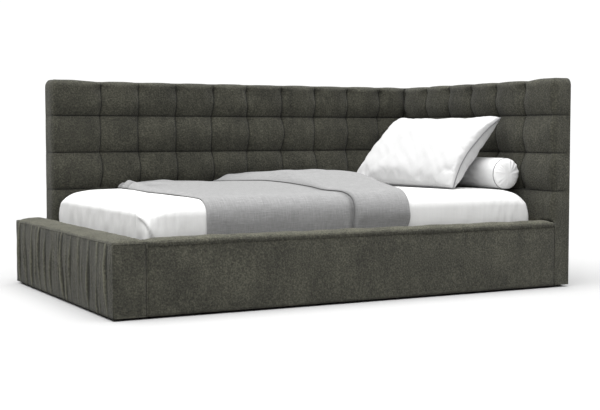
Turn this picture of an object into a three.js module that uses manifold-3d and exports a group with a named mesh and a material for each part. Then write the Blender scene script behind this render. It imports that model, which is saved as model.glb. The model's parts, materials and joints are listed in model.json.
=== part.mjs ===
// A corner daybed: a low upholstered foot block and front rail, tall tufted panels along the back and
// the head end, a slatted base inside, and the mattress, blanket, bolster and pillow on it.
//
// Millimetres. +Z is up, +X runs from the foot block to the head panel, +Y from the front rail to the
// back panel. The origin is on the floor under the middle of the whole bed.
import * as THREE from "three";
import { mergeVertices } from "three/addons/utils/BufferGeometryUtils.js";
import Module from "manifold-3d";

const wasm = await Module();
wasm.setup();

// ---------------------------------------------------------------- driving dimensions

const fit = 0.3; // gap between pieces that touch

const mattressLength = 2000;
const mattressWidth = 1200;
const mattressHeight = 200;
const mattressEdge = 55; // rounding of its long edges
const mattressCorner = 80; // rounding of its upright corners
const footGap = 30; // mattress to foot block
const headGap = 45; // mattress to head panel
const frontGap = 18; // mattress to front rail
const backGap = 10; // mattress to back panel

const blockThick = 143; // foot block, along X
const railThick = 80; // front rail, along Y
const sideTop = 306; // top seam of block and rail
const crown = 20; // how far their padded tops rise above that seam
const blockOuterPad = 22;
const blockInnerPad = 12;
const blockEndPad = 14;
const railOuterPad = 24;
const railInnerPad = 12;
const topPad = 10;

const panelTop = 1008;
const panelThick = 112; // board, padding and cloth together
const panelSkin = 3; // cloth and wadding on the outer face
const panelWrap = 16; // padding over the board's top and free end
const tuftDepth = 22; // how far the tufts stand in front of their seams

const board = 16; // boards of the foot block
const railBoard = 30; // boards of the rails
const panelBoard = 34; // boards of the tall panels

const glideHeight = 10;
const glideRadius = 14;
const glideInset = 60; // from the ends of what it carries

const baseTop = 270; // top of the slats
const baseClearance = 4; // steel base frame to rails
const tubeHeight = 40;
const tubeWidth = 25;
const slatCount = 14;
const slatWidth = 68;
const slatThick = 8;
const slatEndGap = 26; // end of the frame to the first slat
const ledgeHeight = 32;
const ledgeWidth = 25;
const legRadius = 16;
const legCount = 3;

const bracketLeg = 60;
const bracketThick = 4;
const bracketHeight = 120;
const bracketLow = 50; // height of a bracket's lower edge

const blanketThick = 10;
const blanketFoldThick = 34; // the band of it that is folded back on top
const blanketFoldStart = 700; // from its foot-end edge to that band
const blanketStart = 257; // from the mattress's foot end
const blanketFrontWidth = 1015; // along X, at the front edge
const blanketBackWidth = 1225; // along X, at the back edge
const blanketDrop = 160; // how far it hangs over the front edge
const blanketBack = 30; // from its back edge to the mattress's back edge

const bolsterRadius = 77;
const bolsterLength = 700;
const bolsterDome = 28; // how far its stuffed ends stand out
const bolsterFront = 158; // from the mattress's front edge to its front seam
const bolsterPanelGap = 5;

const pillowLength = 700;
const pillowWidth = 500;
const pillowThick = 150;
const pillowTurn = THREE.MathUtils.degToRad(12); // about Z
const pillowLean = THREE.MathUtils.degToRad(45); // from the mattress
const pillowPull = 24; // how far its sides pull in between the corners
const pillowFront = 560; // from the mattress's front edge to its middle
const pillowHead = 245; // from the mattress's head end to its middle
const restGap = 3; // bedding that lies on the mattress keeps this far off it

// ---------------------------------------------------------------- places worked out from them

const overallLength = blockThick + footGap + mattressLength + headGap + panelThick;
const overallDepth = railThick + frontGap + mattressWidth + backGap + panelThick;
const xFoot = -overallLength / 2;
const xHead = overallLength / 2;
const yFront = -overallDepth / 2;
const yBack = overallDepth / 2;

const xBlock = xFoot + blockThick; // inner face of the foot block
const yRail = yFront + railThick; // inner face of the front rail
const xPadding = xHead - panelThick; // inner face of the head panel's padding
const yPadding = yBack - panelThick; // front face of the back panel's padding
const xPanelBoard = xHead - panelSkin - panelBoard; // inner face of the head panel's board
const yPanelBoard = yBack - panelSkin - panelBoard; // front face of the back panel's board
const xHeadRail = xPanelBoard - fit - railBoard; // inner face of the head rail
const yBackRail = yPanelBoard - fit - railBoard; // front face of the back rail

const bottom = glideHeight + fit; // lower edge of boards and covers
const boardTop = sideTop - topPad;
const panelBoardTop = panelTop - panelWrap;
const tubeTop = baseTop - slatThick - fit;
const tubeLow = tubeTop - tubeHeight;
const ledgeTop = tubeLow - fit;
const innerRailTop = tubeTop;
const paddingLow = baseTop + 4; // the panels' padding stops just above the base

const xMattress = xBlock + footGap;
const yMattress = yRail + frontGap;
const mattressTop = baseTop + fit + mattressHeight;

// ---------------------------------------------------------------- materials

function finish(color, roughness, metalness = 0) {
  return new THREE.MeshStandardMaterial({ color, roughness, metalness });
}
const upholstery = finish(0x4d4d42, 0.95);
const timber = finish(0xb08a5a, 0.7);
const birch = finish(0xd8bd8c, 0.55);
const steel = finish(0x2c2d2f, 0.45, 0.8);
const plastic = finish(0x1d1d1d, 0.6);
const sheeting = finish(0xf0f0ee, 0.9);
const linen = finish(0x9a9a9c, 0.95);
const cotton = finish(0xf4f4f2, 0.85);

const bed = new THREE.Group();
bed.name = "corner_daybed";

function add(name, geometry, material) {
  const mesh = new THREE.Mesh(geometry, material);
  mesh.name = name;
  bed.add(mesh);
  return mesh;
}

// ---------------------------------------------------------------- shapes

// A box between two corners, given as a range along each axis.
function boxGeometry(x, y, z) {
  const box = new THREE.BoxGeometry(x[1] - x[0], y[1] - y[0], z[1] - z[0]);
  return box.translate((x[0] + x[1]) / 2, (y[0] + y[1]) / 2, (z[0] + z[1]) / 2);
}

function addBox(name, x, y, z, material) {
  return add(name, boxGeometry(x, y, z), material);
}

// A profile drawn in Y and Z, drawn out along X.
function alongX(profile, x) {
  const made = new THREE.ExtrudeGeometry(profile, {
    depth: x[1] - x[0],
    bevelEnabled: false,
    curveSegments: 8,
  });
  const axes = new THREE.Matrix4().makeBasis(
    new THREE.Vector3(0, 1, 0),
    new THREE.Vector3(0, 0, 1),
    new THREE.Vector3(1, 0, 0),
  );
  return made.applyMatrix4(axes).translate(x[0], 0, 0);
}

// A profile drawn in X and Z, drawn out along Y.
function alongY(profile, y) {
  const made = new THREE.ExtrudeGeometry(profile, {
    depth: y[1] - y[0],
    bevelEnabled: false,
    curveSegments: 8,
  });
  return made.rotateX(Math.PI / 2).translate(0, y[1], 0);
}

// The cross-section of a padded side: square below its top seam, softly crowned above it.
function crownedProfile(low, high) {
  const profile = new THREE.Shape();
  profile.moveTo(low, bottom);
  profile.lineTo(high, bottom);
  profile.lineTo(high, sideTop);
  const handle = sideTop + (crown * 4) / 3;
  profile.bezierCurveTo(high - crown / 2, handle, low + crown / 2, handle, low, sideTop);
  return profile;
}

function solidOf(geometry) {
  const bare = new THREE.BufferGeometry();
  bare.setAttribute("position", geometry.getAttribute("position"));
  if (geometry.index) bare.setIndex(geometry.index);
  const merged = mergeVertices(bare, 1e-3);
  return new wasm.Manifold(
    new wasm.Mesh({
      numProp: 3,
      vertProperties: new Float32Array(merged.getAttribute("position").array),
      triVerts: new Uint32Array(merged.index.array),
    }),
  );
}

function geometryOf(solid) {
  const mesh = solid.getMesh();
  const made = new THREE.BufferGeometry();
  made.setAttribute("position", new THREE.BufferAttribute(new Float32Array(mesh.vertProperties), 3));
  made.setIndex(new THREE.BufferAttribute(new Uint32Array(mesh.triVerts), 1));
  made.computeVertexNormals();
  return made;
}

// The first geometry with the others cut out of it.
function cut(geometry, ...cutters) {
  const whole = solidOf(geometry);
  return geometryOf(cutters.reduce((solid, cutter) => solid.subtract(solidOf(cutter)), whole));
}

function join(geometry, other) {
  return geometryOf(solidOf(geometry).add(solidOf(other)));
}

// ---------------------------------------------------------------- foot block

function buildFootBlock() {
  const x = [xFoot + blockOuterPad, xBlock - blockInnerPad];
  const y = [yFront + blockEndPad, yBack - blockEndPad];
  const underTop = boardTop - board - fit;
  addBox("foot_block_outer_board", [x[0], x[0] + board], y, [bottom, underTop], timber);
  addBox("foot_block_inner_board", [x[1] - board, x[1]], y, [bottom, underTop], timber);
  addBox("foot_block_top_board", x, y, [boardTop - board, boardTop], timber);

  const between = [x[0] + board + fit, x[1] - board - fit];
  const crossBoards = ["front_end", "front_rib", "back_rib", "back_end"];
  const step = (y[1] - y[0] - board) / (crossBoards.length - 1);
  crossBoards.forEach((where, i) => {
    const start = y[0] + i * step;
    addBox(`foot_block_${where}`, between, [start, start + board], [bottom, underTop], timber);
  });

  const cover = alongY(crownedProfile(xFoot, xBlock), [yFront, yBack]);
  const inside = boxGeometry([x[0] - fit, x[1] + fit], [y[0] - fit, y[1] + fit], [0, boardTop + fit]);
  add("foot_block_upholstery", cut(cover, inside), upholstery);
}

// ---------------------------------------------------------------- rails

function buildRails() {
  const frontX = [xBlock + fit, xPadding + tuftDepth - fit];
  const boardY = [yFront + railOuterPad, yRail - railInnerPad];
  addBox("front_rail_board", frontX, boardY, [bottom, boardTop], timber);
  const sleeve = alongX(crownedProfile(yFront, yRail), frontX);
  const inside = boxGeometry(
    [frontX[0] - 1, frontX[1] + 1],
    [boardY[0] - fit, boardY[1] + fit],
    [0, boardTop + fit],
  );
  add("front_rail_upholstery", cut(sleeve, inside), upholstery);

  const backY = [yBackRail, yBackRail + railBoard];
  addBox("back_rail", [xBlock + fit, xPanelBoard - fit], backY, [bottom, innerRailTop], timber);
  const headX = [xHeadRail, xHeadRail + railBoard];
  addBox("head_rail", headX, [yRail + fit, yBackRail - fit], [bottom, innerRailTop], timber);
}

// ---------------------------------------------------------------- tall panels

function buildBackPanel() {
  const x = [xBlock + fit, xPanelBoard - fit];
  const boardX = [x[0] + panelWrap, x[1]];
  const boardY = [yPanelBoard, yPanelBoard + panelBoard];
  addBox("back_panel_board", boardX, boardY, [bottom, panelBoardTop], timber);

  const padded = boxGeometry(x, [yPadding, yBack], [bottom, panelTop]);
  const pocket = boxGeometry(
    [boardX[0] - fit, boardX[1] + 1],
    [boardY[0] - fit, boardY[1] + fit],
    [0, panelBoardTop + fit],
  );
  const forRail = boxGeometry([x[0] - 1, x[1] + 1], [yPadding - 1, yPanelBoard], [0, paddingLow]);
  add("back_panel_upholstery", cut(padded, pocket, forRail), upholstery);
}

function buildHeadPanel() {
  const boardX = [xPanelBoard, xPanelBoard + panelBoard];
  const boardY = [yFront + panelWrap, yBack - panelSkin];
  addBox("head_panel_board", boardX, boardY, [bottom, panelBoardTop], timber);

  const padded = boxGeometry([xPadding, xHead], [yFront, yBack], [bottom, panelTop]);
  const pocket = boxGeometry(
    [boardX[0] - fit, boardX[1] + fit],
    [boardY[0] - fit, boardY[1] + fit],
    [0, panelBoardTop + fit],
  );
  const forRail = boxGeometry([xPadding - 1, xPanelBoard], [yRail, yBack], [0, paddingLow]);
  const forFrontRail = boxGeometry(
    [xPadding - 1, xPadding + tuftDepth],
    [yFront - 1, yRail + fit],
    [0, sideTop + crown + fit],
  );
  const forBackPanel = boxGeometry(
    [xPadding - 1, xPanelBoard],
    [yPadding - fit, yBack + 1],
    [0, panelTop + 1],
  );
  add("head_panel_upholstery", cut(padded, pocket, forRail, forFrontRail, forBackPanel), upholstery);
}

// ---------------------------------------------------------------- base inside the box

function buildLedges() {
  const z = [ledgeTop - ledgeHeight, ledgeTop];
  const alongRail = [xBlock + ledgeWidth + 2 * fit, xHeadRail - ledgeWidth - 2 * fit];
  const across = [yRail + fit, yBackRail - fit];
  addBox("ledge_front", alongRail, [yRail + fit, yRail + fit + ledgeWidth], z, timber);
  addBox("ledge_back", alongRail, [yBackRail - fit - ledgeWidth, yBackRail - fit], z, timber);
  addBox("ledge_foot", [xBlock + fit, xBlock + fit + ledgeWidth], across, z, timber);
  addBox("ledge_head", [xHeadRail - fit - ledgeWidth, xHeadRail - fit], across, z, timber);
}

function buildBase() {
  const x = [xBlock + baseClearance, xHeadRail - baseClearance];
  const y = [yRail + baseClearance, yBackRail - baseClearance];
  const z = [tubeLow, tubeTop];
  const middle = (y[0] + y[1]) / 2;
  const between = [x[0] + tubeWidth + fit, x[1] - tubeWidth - fit];
  addBox("base_tube_foot", [x[0], x[0] + tubeWidth], y, z, steel);
  addBox("base_tube_head", [x[1] - tubeWidth, x[1]], y, z, steel);
  addBox("base_tube_front", between, [y[0], y[0] + tubeWidth], z, steel);
  addBox("base_tube_back", between, [y[1] - tubeWidth, y[1]], z, steel);
  addBox("base_tube_middle", between, [middle - tubeWidth / 2, middle + tubeWidth / 2], z, steel);

  const first = x[0] + slatEndGap;
  const step = (x[1] - slatEndGap - slatWidth - first) / (slatCount - 1);
  for (let i = 0; i < slatCount; i++) {
    const start = first + i * step;
    const name = `slat_${String(i + 1).padStart(2, "0")}`;
    addBox(name, [start, start + slatWidth], y, [tubeTop + fit, baseTop], birch);
  }

  for (let i = 0; i < legCount; i++) {
    const height = tubeLow - fit;
    const leg = new THREE.CylinderGeometry(legRadius, legRadius, height, 20).rotateX(Math.PI / 2);
    const mesh = add(`centre_leg_${i + 1}`, leg, steel);
    mesh.position.set(x[0] + ((x[1] - x[0]) * (i + 0.5)) / legCount, middle, height / 2);
  }
}

// ---------------------------------------------------------------- fittings

function buildBrackets() {
  const corners = [
    ["front_foot", xBlock + fit, yRail + fit, 1, 1],
    ["front_head", xHeadRail - fit, yRail + fit, -1, 1],
    ["back_foot", xBlock + fit, yBackRail - fit, 1, -1],
    ["back_head", xHeadRail - fit, yBackRail - fit, -1, -1],
  ];
  for (const [where, x, y, towardsX, towardsY] of corners) {
    const profile = new THREE.Shape();
    profile.moveTo(x, y);
    profile.lineTo(x + towardsX * bracketLeg, y);
    profile.lineTo(x + towardsX * bracketLeg, y + towardsY * bracketThick);
    profile.lineTo(x + towardsX * bracketThick, y + towardsY * bracketThick);
    profile.lineTo(x + towardsX * bracketThick, y + towardsY * bracketLeg);
    profile.lineTo(x, y + towardsY * bracketLeg);
    const bracket = new THREE.ExtrudeGeometry(profile, { depth: bracketHeight, bevelEnabled: false });
    add(`corner_bracket_${where}`, bracket, steel).position.z = bracketLow;
  }
}

function buildGlides() {
  const outerX = xFoot + blockOuterPad + board / 2;
  const innerX = xBlock - blockInnerPad - board / 2;
  const headX = xPanelBoard + panelBoard / 2;
  const railY = yFront + railOuterPad + (railThick - railOuterPad - railInnerPad) / 2;
  const places = [
    [outerX, yFront + glideInset],
    [innerX, yFront + glideInset],
    [outerX, yBack - glideInset],
    [innerX, yBack - glideInset],
    [headX, yFront + glideInset],
    [headX, yBack - glideInset],
    [0, railY],
    [0, yPanelBoard + panelBoard / 2],
  ];
  places.forEach(([x, y], i) => {
    const glide = new THREE.CylinderGeometry(glideRadius, glideRadius, glideHeight, 20).rotateX(Math.PI / 2);
    add(`glide_${i + 1}`, glide, plastic).position.set(x, y, glideHeight / 2);
  });
}

// ---------------------------------------------------------------- bedding

function roundedRectangle(width, depth, radius) {
  const shape = new THREE.Shape();
  const x = width / 2 - radius;
  const y = depth / 2 - radius;
  shape.absarc(x, -y, radius, -Math.PI / 2, 0);
  shape.absarc(x, y, radius, 0, Math.PI / 2);
  shape.absarc(-x, y, radius, Math.PI / 2, Math.PI);
  shape.absarc(-x, -y, radius, Math.PI, 1.5 * Math.PI);
  return shape;
}

function buildMattress() {
  const inner = roundedRectangle(
    mattressLength - 2 * mattressEdge,
    mattressWidth - 2 * mattressEdge,
    mattressCorner - mattressEdge,
  );
  const made = new THREE.ExtrudeGeometry(inner, {
    depth: mattressHeight - 2 * mattressEdge,
    bevelThickness: mattressEdge,
    bevelSize: mattressEdge,
    bevelSegments: 5,
    curveSegments: 5,
  });
  add("mattress", made, sheeting).position.set(
    xMattress + mattressLength / 2,
    yMattress + mattressWidth / 2,
    baseTop + fit + mattressEdge,
  );
}

// A blanket over the mattress's top and down its front face, wider at the back than at the front. Its
// head end is folded back over the rest in a thick band.
function buildBlanket() {
  const back = yMattress + mattressWidth - blanketBack;
  const turnY = yMattress + mattressEdge;
  const turnZ = mattressTop - mattressEdge;
  const inner = mattressEdge + restGap;
  const outer = inner + blanketThick;
  const low = mattressTop - blanketDrop;
  const profile = new THREE.Shape();
  profile.moveTo(back, mattressTop + restGap);
  profile.lineTo(back, mattressTop + restGap + blanketThick);
  profile.lineTo(turnY, mattressTop + restGap + blanketThick);
  profile.absarc(turnY, turnZ, outer, Math.PI / 2, Math.PI);
  profile.lineTo(turnY - outer, low);
  profile.lineTo(turnY - inner, low);
  profile.lineTo(turnY - inner, turnZ);
  profile.absarc(turnY, turnZ, inner, Math.PI, Math.PI / 2, true);
  const start = xMattress + blanketStart;
  const frontEnd = start + blanketFrontWidth;
  const backEnd = start + blanketBackWidth;
  const far = Math.max(frontEnd, backEnd) + 1;
  const slant = new THREE.Shape();
  slant.moveTo(frontEnd, yMattress - outer - 1);
  slant.lineTo(far, yMattress - outer - 1);
  slant.lineTo(far, back + 1);
  slant.lineTo(backEnd, back + 1);
  slant.lineTo(frontEnd, yMattress);
  const offcut = new THREE.ExtrudeGeometry(slant, { depth: panelTop, bevelEnabled: false });
  const layerTop = mattressTop + restGap + blanketThick;
  const band = boxGeometry(
    [start + blanketFoldStart, far],
    [turnY, back],
    [layerTop - 1, layerTop + blanketFoldThick],
  );
  add("blanket", cut(join(alongX(profile, [start, far]), band), offcut), linen);
}

// A stuffed roll lying along the head panel, with a soft dome at each end.
function buildBolster() {
  const dome = (share) => {
    const angle = (share * Math.PI) / 2;
    return [bolsterRadius * Math.cos(angle), bolsterDome * Math.sin(angle)];
  };
  const steps = 6;
  const profile = [];
  for (let i = 0; i <= steps; i++) {
    const [radius, out] = dome(1 - i / steps);
    profile.push(new THREE.Vector2(i ? radius : 0, -bolsterLength / 2 - out));
  }
  for (let i = 0; i <= steps; i++) {
    const [radius, out] = dome(i / steps);
    profile.push(new THREE.Vector2(i < steps ? radius : 0, bolsterLength / 2 + out));
  }
  add("bolster", new THREE.LatheGeometry(profile, 28), cotton).position.set(
    xPadding - bolsterPanelGap - bolsterRadius,
    yMattress + bolsterFront + bolsterLength / 2,
    mattressTop + restGap + bolsterRadius,
  );
}

// A pillow's closed shape: two crowned faces that meet in one seam, with sides that pull in.
function pillowGeometry() {
  const columns = 16;
  const rows = 12;
  const positions = [];
  const indices = [];
  const isSeam = (i, j) => i === 0 || j === 0 || i === columns || j === rows;
  const numbers = new Map();
  const place = (i, j, side) => {
    const key = isSeam(i, j) ? `${i},${j}` : `${i},${j},${side}`;
    if (!numbers.has(key)) {
      const u = (2 * i) / columns - 1;
      const v = (2 * j) / rows - 1;
      const x = u * (pillowLength / 2 - pillowPull * (1 - v * v));
      const y = v * (pillowWidth / 2 - pillowPull * (1 - u * u));
      const z = (side * pillowThick * ((1 - u * u) * (1 - v * v)) ** 0.45) / 2;
      numbers.set(key, positions.length / 3);
      positions.push(x, y, isSeam(i, j) ? 0 : z);
    }
    return numbers.get(key);
  };
  for (const side of [1, -1]) {
    for (let i = 0; i < columns; i++) {
      for (let j = 0; j < rows; j++) {
        const [a, b] = [place(i, j, side), place(i + 1, j, side)];
        const [c, d] = [place(i + 1, j + 1, side), place(i, j + 1, side)];
        indices.push(...(side > 0 ? [a, b, c, a, c, d] : [a, c, b, a, d, c]));
      }
    }
  }
  const made = new THREE.BufferGeometry();
  made.setAttribute("position", new THREE.BufferAttribute(new Float32Array(positions), 3));
  made.setIndex(indices);
  made.computeVertexNormals();
  return made;
}

// The pillow leans back, its lower edge on the mattress and its upper edge towards the head panel.
function buildPillow() {
  const along = new THREE.Vector3(-Math.sin(pillowTurn), Math.cos(pillowTurn), 0);
  const up = new THREE.Vector3(
    Math.cos(pillowTurn) * Math.cos(pillowLean),
    Math.sin(pillowTurn) * Math.cos(pillowLean),
    Math.sin(pillowLean),
  );
  const turned = new THREE.Matrix4().makeBasis(along, up, along.clone().cross(up));
  const pillow = add("pillow", pillowGeometry(), cotton);
  pillow.quaternion.setFromRotationMatrix(turned);
  pillow.position.set(
    xMattress + mattressLength - pillowHead,
    yMattress + pillowFront,
    mattressTop + 2 * restGap + (Math.sin(pillowLean) * pillowWidth) / 2,
  );
}

buildFootBlock();
buildRails();
buildBackPanel();
buildHeadPanel();
buildLedges();
buildBase();
buildBrackets();
buildGlides();
buildMattress();
buildBlanket();
buildBolster();
buildPillow();

export default bed;
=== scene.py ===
import json
import math

import bmesh
import bpy
from bpy.props import FloatProperty, FloatVectorProperty, IntProperty, PointerProperty
from mathutils import Euler, Matrix, Vector, noise


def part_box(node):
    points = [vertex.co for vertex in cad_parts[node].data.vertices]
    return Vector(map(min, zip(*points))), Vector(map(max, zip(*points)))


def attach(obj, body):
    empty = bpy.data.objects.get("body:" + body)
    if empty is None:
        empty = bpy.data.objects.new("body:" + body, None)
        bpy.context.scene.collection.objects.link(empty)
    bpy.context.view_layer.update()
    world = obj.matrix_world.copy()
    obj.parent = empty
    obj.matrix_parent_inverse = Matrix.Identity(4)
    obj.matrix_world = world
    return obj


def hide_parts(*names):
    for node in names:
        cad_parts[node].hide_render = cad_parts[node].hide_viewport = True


bl_info = {
    "name": "Corner Daybed",
    "version": (1, 0, 0),
    "blender": (4, 5, 0),
    "location": "3D View > Sidebar > Daybed",
    "description": "Upholsters and makes up a corner daybed around its packed frame",
    "category": "Object",
}

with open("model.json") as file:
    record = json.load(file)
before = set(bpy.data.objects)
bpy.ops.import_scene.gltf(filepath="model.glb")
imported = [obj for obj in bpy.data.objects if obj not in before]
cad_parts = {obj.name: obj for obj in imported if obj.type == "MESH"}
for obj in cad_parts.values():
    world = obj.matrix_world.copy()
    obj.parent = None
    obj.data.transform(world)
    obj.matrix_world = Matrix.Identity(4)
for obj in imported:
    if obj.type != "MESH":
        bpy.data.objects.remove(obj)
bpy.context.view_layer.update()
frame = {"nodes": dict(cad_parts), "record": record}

# Bodies of the frame that the pieces ride on.
BED = "bed_frame"
MATTRESS = "mattress"
BOLSTER = "bolster"
PILLOW = "pillow"

# Places, all taken from the frame's own nodes: lowest and highest corners in metres.
BLOCK_LOW, BLOCK_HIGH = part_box("foot_block_upholstery")
RAIL_LOW, RAIL_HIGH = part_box("front_rail_upholstery")
BACK_LOW, BACK_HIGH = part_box("back_panel_upholstery")
HEAD_LOW, HEAD_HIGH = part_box("head_panel_upholstery")
HEAD_BOARD_LOW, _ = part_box("head_panel_board")
BACK_BOARD_LOW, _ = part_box("back_panel_board")
BED_LOW, BED_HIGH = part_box("mattress")
BLANKET_LOW, BLANKET_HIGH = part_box("blanket")
BOLSTER_LOW, BOLSTER_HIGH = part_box("bolster")
PILLOW_LOW, PILLOW_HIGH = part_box("pillow")
_, SLAT_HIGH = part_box("slat_01")

FLOOR_GAP = BLOCK_LOW.z
PADDING_FOOT = SLAT_HIGH.z + 0.004  # the panels' padding stops just above the slats
CROWN = 0.020  # how far the padded tops rise above their seam
SEAM_HEIGHT = BLOCK_HIGH.z - CROWN + 0.0003  # top seam of the block and rail
COVER_EDGE = 0.004  # rounding of the block cover's upright edges
RAIL_EDGE = 0.003  # rounding of the rail cover's upright edges
WELT_INSET = 0.0012  # how far a welt's middle lies inside the cover's edge


# ---------------------------------------------------------------- settings


class DaybedUpholstery(bpy.types.PropertyGroup):
    """Sizes and colours of the covered frame"""

    colour: FloatVectorProperty(
        name="Pile colour", description="Middle tone of the pile fabric",
        subtype="COLOR", size=3, min=0, max=1, default=(0.0500, 0.0490, 0.0365))
    light_colour: FloatVectorProperty(
        name="Light pile", description="Tone where the pile lies towards the light",
        subtype="COLOR", size=3, min=0, max=1, default=(0.114, 0.112, 0.083))
    dark_colour: FloatVectorProperty(
        name="Dark pile", description="Tone between the nubs of the pile",
        subtype="COLOR", size=3, min=0, max=1, default=(0.0165, 0.0165, 0.0125))
    first_back_tuft: FloatProperty(
        name="First back tuft", description="Width of the tuft at the free end of the back panel",
        unit="LENGTH", default=0.268)
    back_tuft: FloatProperty(
        name="Back tuft", description="Width of the other tufts of the back panel",
        unit="LENGTH", default=0.2067)
    first_head_tuft: FloatProperty(
        name="First head tuft", description="Width of the tuft at the free end of the head panel",
        unit="LENGTH", default=0.251)
    head_tuft: FloatProperty(
        name="Head tuft", description="Width of the other tufts of the head panel",
        unit="LENGTH", default=0.2145)
    tuft_height: FloatProperty(
        name="Tuft height", description="Height between two level seams",
        unit="LENGTH", default=0.1838)
    top_tuft: FloatProperty(
        name="Top tuft", description="Height of the top row of tufts",
        unit="LENGTH", default=0.174)
    tuft_rows: IntProperty(
        name="Level seams", description="Number of level seams in each panel", default=3)
    puff: FloatProperty(
        name="Puff", description="How far a tuft stands in front of where its seams cross",
        unit="LENGTH", default=0.042)
    panel_edge: FloatProperty(
        name="Panel edge", description="Rounding of the tall panels' top edges",
        unit="LENGTH", default=0.040)
    panel_end: FloatProperty(
        name="Panel end", description="Rounding of the tall panels' free ends at the front",
        unit="LENGTH", default=0.030)
    panel_rear_end: FloatProperty(
        name="Panel rear end", description="Rounding of the tall panels' free ends at the back",
        unit="LENGTH", default=0.012)
    panel_rear_edge: FloatProperty(
        name="Panel rear edge", description="Rounding of the tall panels' edges onto their backs",
        unit="LENGTH", default=0.004)
    panel_corner: FloatProperty(
        name="Panel corner", description="Rounding of the tall panels' top corners",
        unit="LENGTH", default=0.032)
    gather_depth: FloatProperty(
        name="Gather depth", description="Depth of the gathers on the foot block's outer face",
        unit="LENGTH", default=0.013)
    gather_width: FloatProperty(
        name="Gather width", description="Usual width of one gather",
        unit="LENGTH", default=0.078)
    welt: FloatProperty(
        name="Welt", description="Radius of the raised seams", unit="LENGTH", default=0.0026)


class DaybedBedding(bpy.types.PropertyGroup):
    """Sizes and colours of the bedding"""

    sheet_colour: FloatVectorProperty(
        name="Sheet colour", description="White of the fitted sheet",
        subtype="COLOR", size=3, min=0, max=1, default=(0.67, 0.67, 0.665))
    # Pillow and bolster are one white cotton: the pillow's is set darker (painted shade) and the
    # bolster's lighter (painted light), for how each is lit.
    pillow_colour: FloatVectorProperty(
        name="Pillow", description="Cotton of the pillow",
        subtype="COLOR", size=3, min=0, max=1, default=(0.49, 0.49, 0.49))
    bolster_colour: FloatVectorProperty(
        name="Bolster", description="Cotton of the bolster",
        subtype="COLOR", size=3, min=0, max=1, default=(0.73, 0.73, 0.73))
    piping_colour: FloatVectorProperty(
        name="Piping colour", description="Grey of the pillow's and bolster's piping",
        subtype="COLOR", size=3, min=0, max=1, default=(0.16, 0.16, 0.165))
    linen_colour: FloatVectorProperty(
        name="Linen colour", description="Light thread of the blanket",
        subtype="COLOR", size=3, min=0, max=1, default=(0.31, 0.31, 0.31))
    linen_dark: FloatVectorProperty(
        name="Linen dark", description="Dark thread of the blanket",
        subtype="COLOR", size=3, min=0, max=1, default=(0.165, 0.165, 0.165))
    pillow_length: FloatProperty(
        name="Pillow length", description="Seam to seam, once filled", unit="LENGTH", default=0.72)
    pillow_width: FloatProperty(
        name="Pillow width", description="Seam to seam, once filled", unit="LENGTH", default=0.50)
    pillow_thickness: FloatProperty(
        name="Pillow thickness", description="At its middle", unit="LENGTH", default=0.175)
    pillow_turn: FloatProperty(
        name="Pillow turn", description="Turn about the upright axis",
        subtype="ANGLE", default=math.radians(12))
    pillow_lean: FloatProperty(
        name="Pillow lean", description="Angle between the pillow and the mattress",
        subtype="ANGLE", default=math.radians(45))


class DaybedStudio(bpy.types.PropertyGroup):
    """Floor, light and camera"""

    floor_colour: FloatVectorProperty(
        name="Floor colour", description="Pale studio floor",
        subtype="COLOR", size=3, min=0, max=1, default=(0.43, 0.43, 0.43))
    overhead: FloatProperty(
        name="Overhead light", description="Strength of the large soft light above", default=6.6)
    ambient: FloatProperty(
        name="Ambient light", description="Strength of the light from all round", default=0.36)
    lens: FloatProperty(
        name="Lens", description="Focal length on a 36 mm wide sensor", subtype="DISTANCE_CAMERA",
        default=71.65)


# ---------------------------------------------------------------- shapes


def spaced(marks, step, gather=0.0):
    """Positions that fall on every mark, about a step apart, and closer together near the marks."""
    positions = [marks[0]]
    for start, end in zip(marks, marks[1:]):
        count = max(1, math.ceil(abs(end - start) / step))
        for i in range(1, count + 1):
            even = i / count
            eased = 0.5 - 0.5 * math.cos(math.pi * even)
            positions.append(start + (end - start) * (even + gather * (eased - even)))
    return positions


def lattice_box(xs, ys, zs):
    """A closed box of quads whose edges fall on the given positions along each axis."""
    lines = (xs, ys, zs)
    counts = [len(line) - 1 for line in lines]
    bm = bmesh.new()
    for axis in range(3):
        across, up = (axis + 1) % 3, (axis + 2) % 3
        for side in (-1, 1):
            grid = bmesh.ops.create_grid(
                bm, x_segments=counts[across], y_segments=counts[up], size=1)
            turn = Matrix.Diagonal((0, 0, 0, 1))
            turn[across][0] = 1
            turn[up][1] = 1
            turn[axis][3] = side
            bmesh.ops.transform(bm, matrix=turn, verts=grid["verts"])
    bmesh.ops.remove_doubles(bm, verts=bm.verts, dist=1e-5)
    for vertex in bm.verts:
        spots = [round((vertex.co[i] + 1) / 2 * counts[i]) for i in range(3)]
        vertex.co = Vector([lines[i][spots[i]] for i in range(3)])
    bmesh.ops.recalc_face_normals(bm, faces=bm.faces)
    return bm


def rounded(point, low, high, radii):
    """A point of a box's lattice moved onto the box with rounded edges, and the way out there.
    radii gives the rounding along each axis."""
    inner = Vector([min(max(point[i], low[i] + radii[i]), high[i] - radii[i]) for i in range(3)])
    out = Vector([(point[i] - inner[i]) / radii[i] for i in range(3)])
    if out.length < 1e-9:
        return point, Vector((0, 0, 0))
    out.normalize()
    return inner + Vector([out[i] * radii[i] for i in range(3)]), out


def upright_rounded(point, low, high, radius):
    """A point of a cover moved onto the cover with only its upright edges rounded."""
    beyond = Vector((0, 0, 2.5 * COVER_EDGE))
    base, _ = rounded(point, low - beyond, high + beyond, (radius,) * 3)
    return base


def ripple(x, y, z=0.0):
    """Smooth noise between about -1 and 1."""
    return noise.noise(Vector((x, y, z)))


def arch(share):
    """A quarter circle's rise, from 0 at share 0 to 1 at share 1."""
    near = min(max(share, 0), 1)
    return math.sqrt(1 - (1 - near) ** 2)


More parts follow.
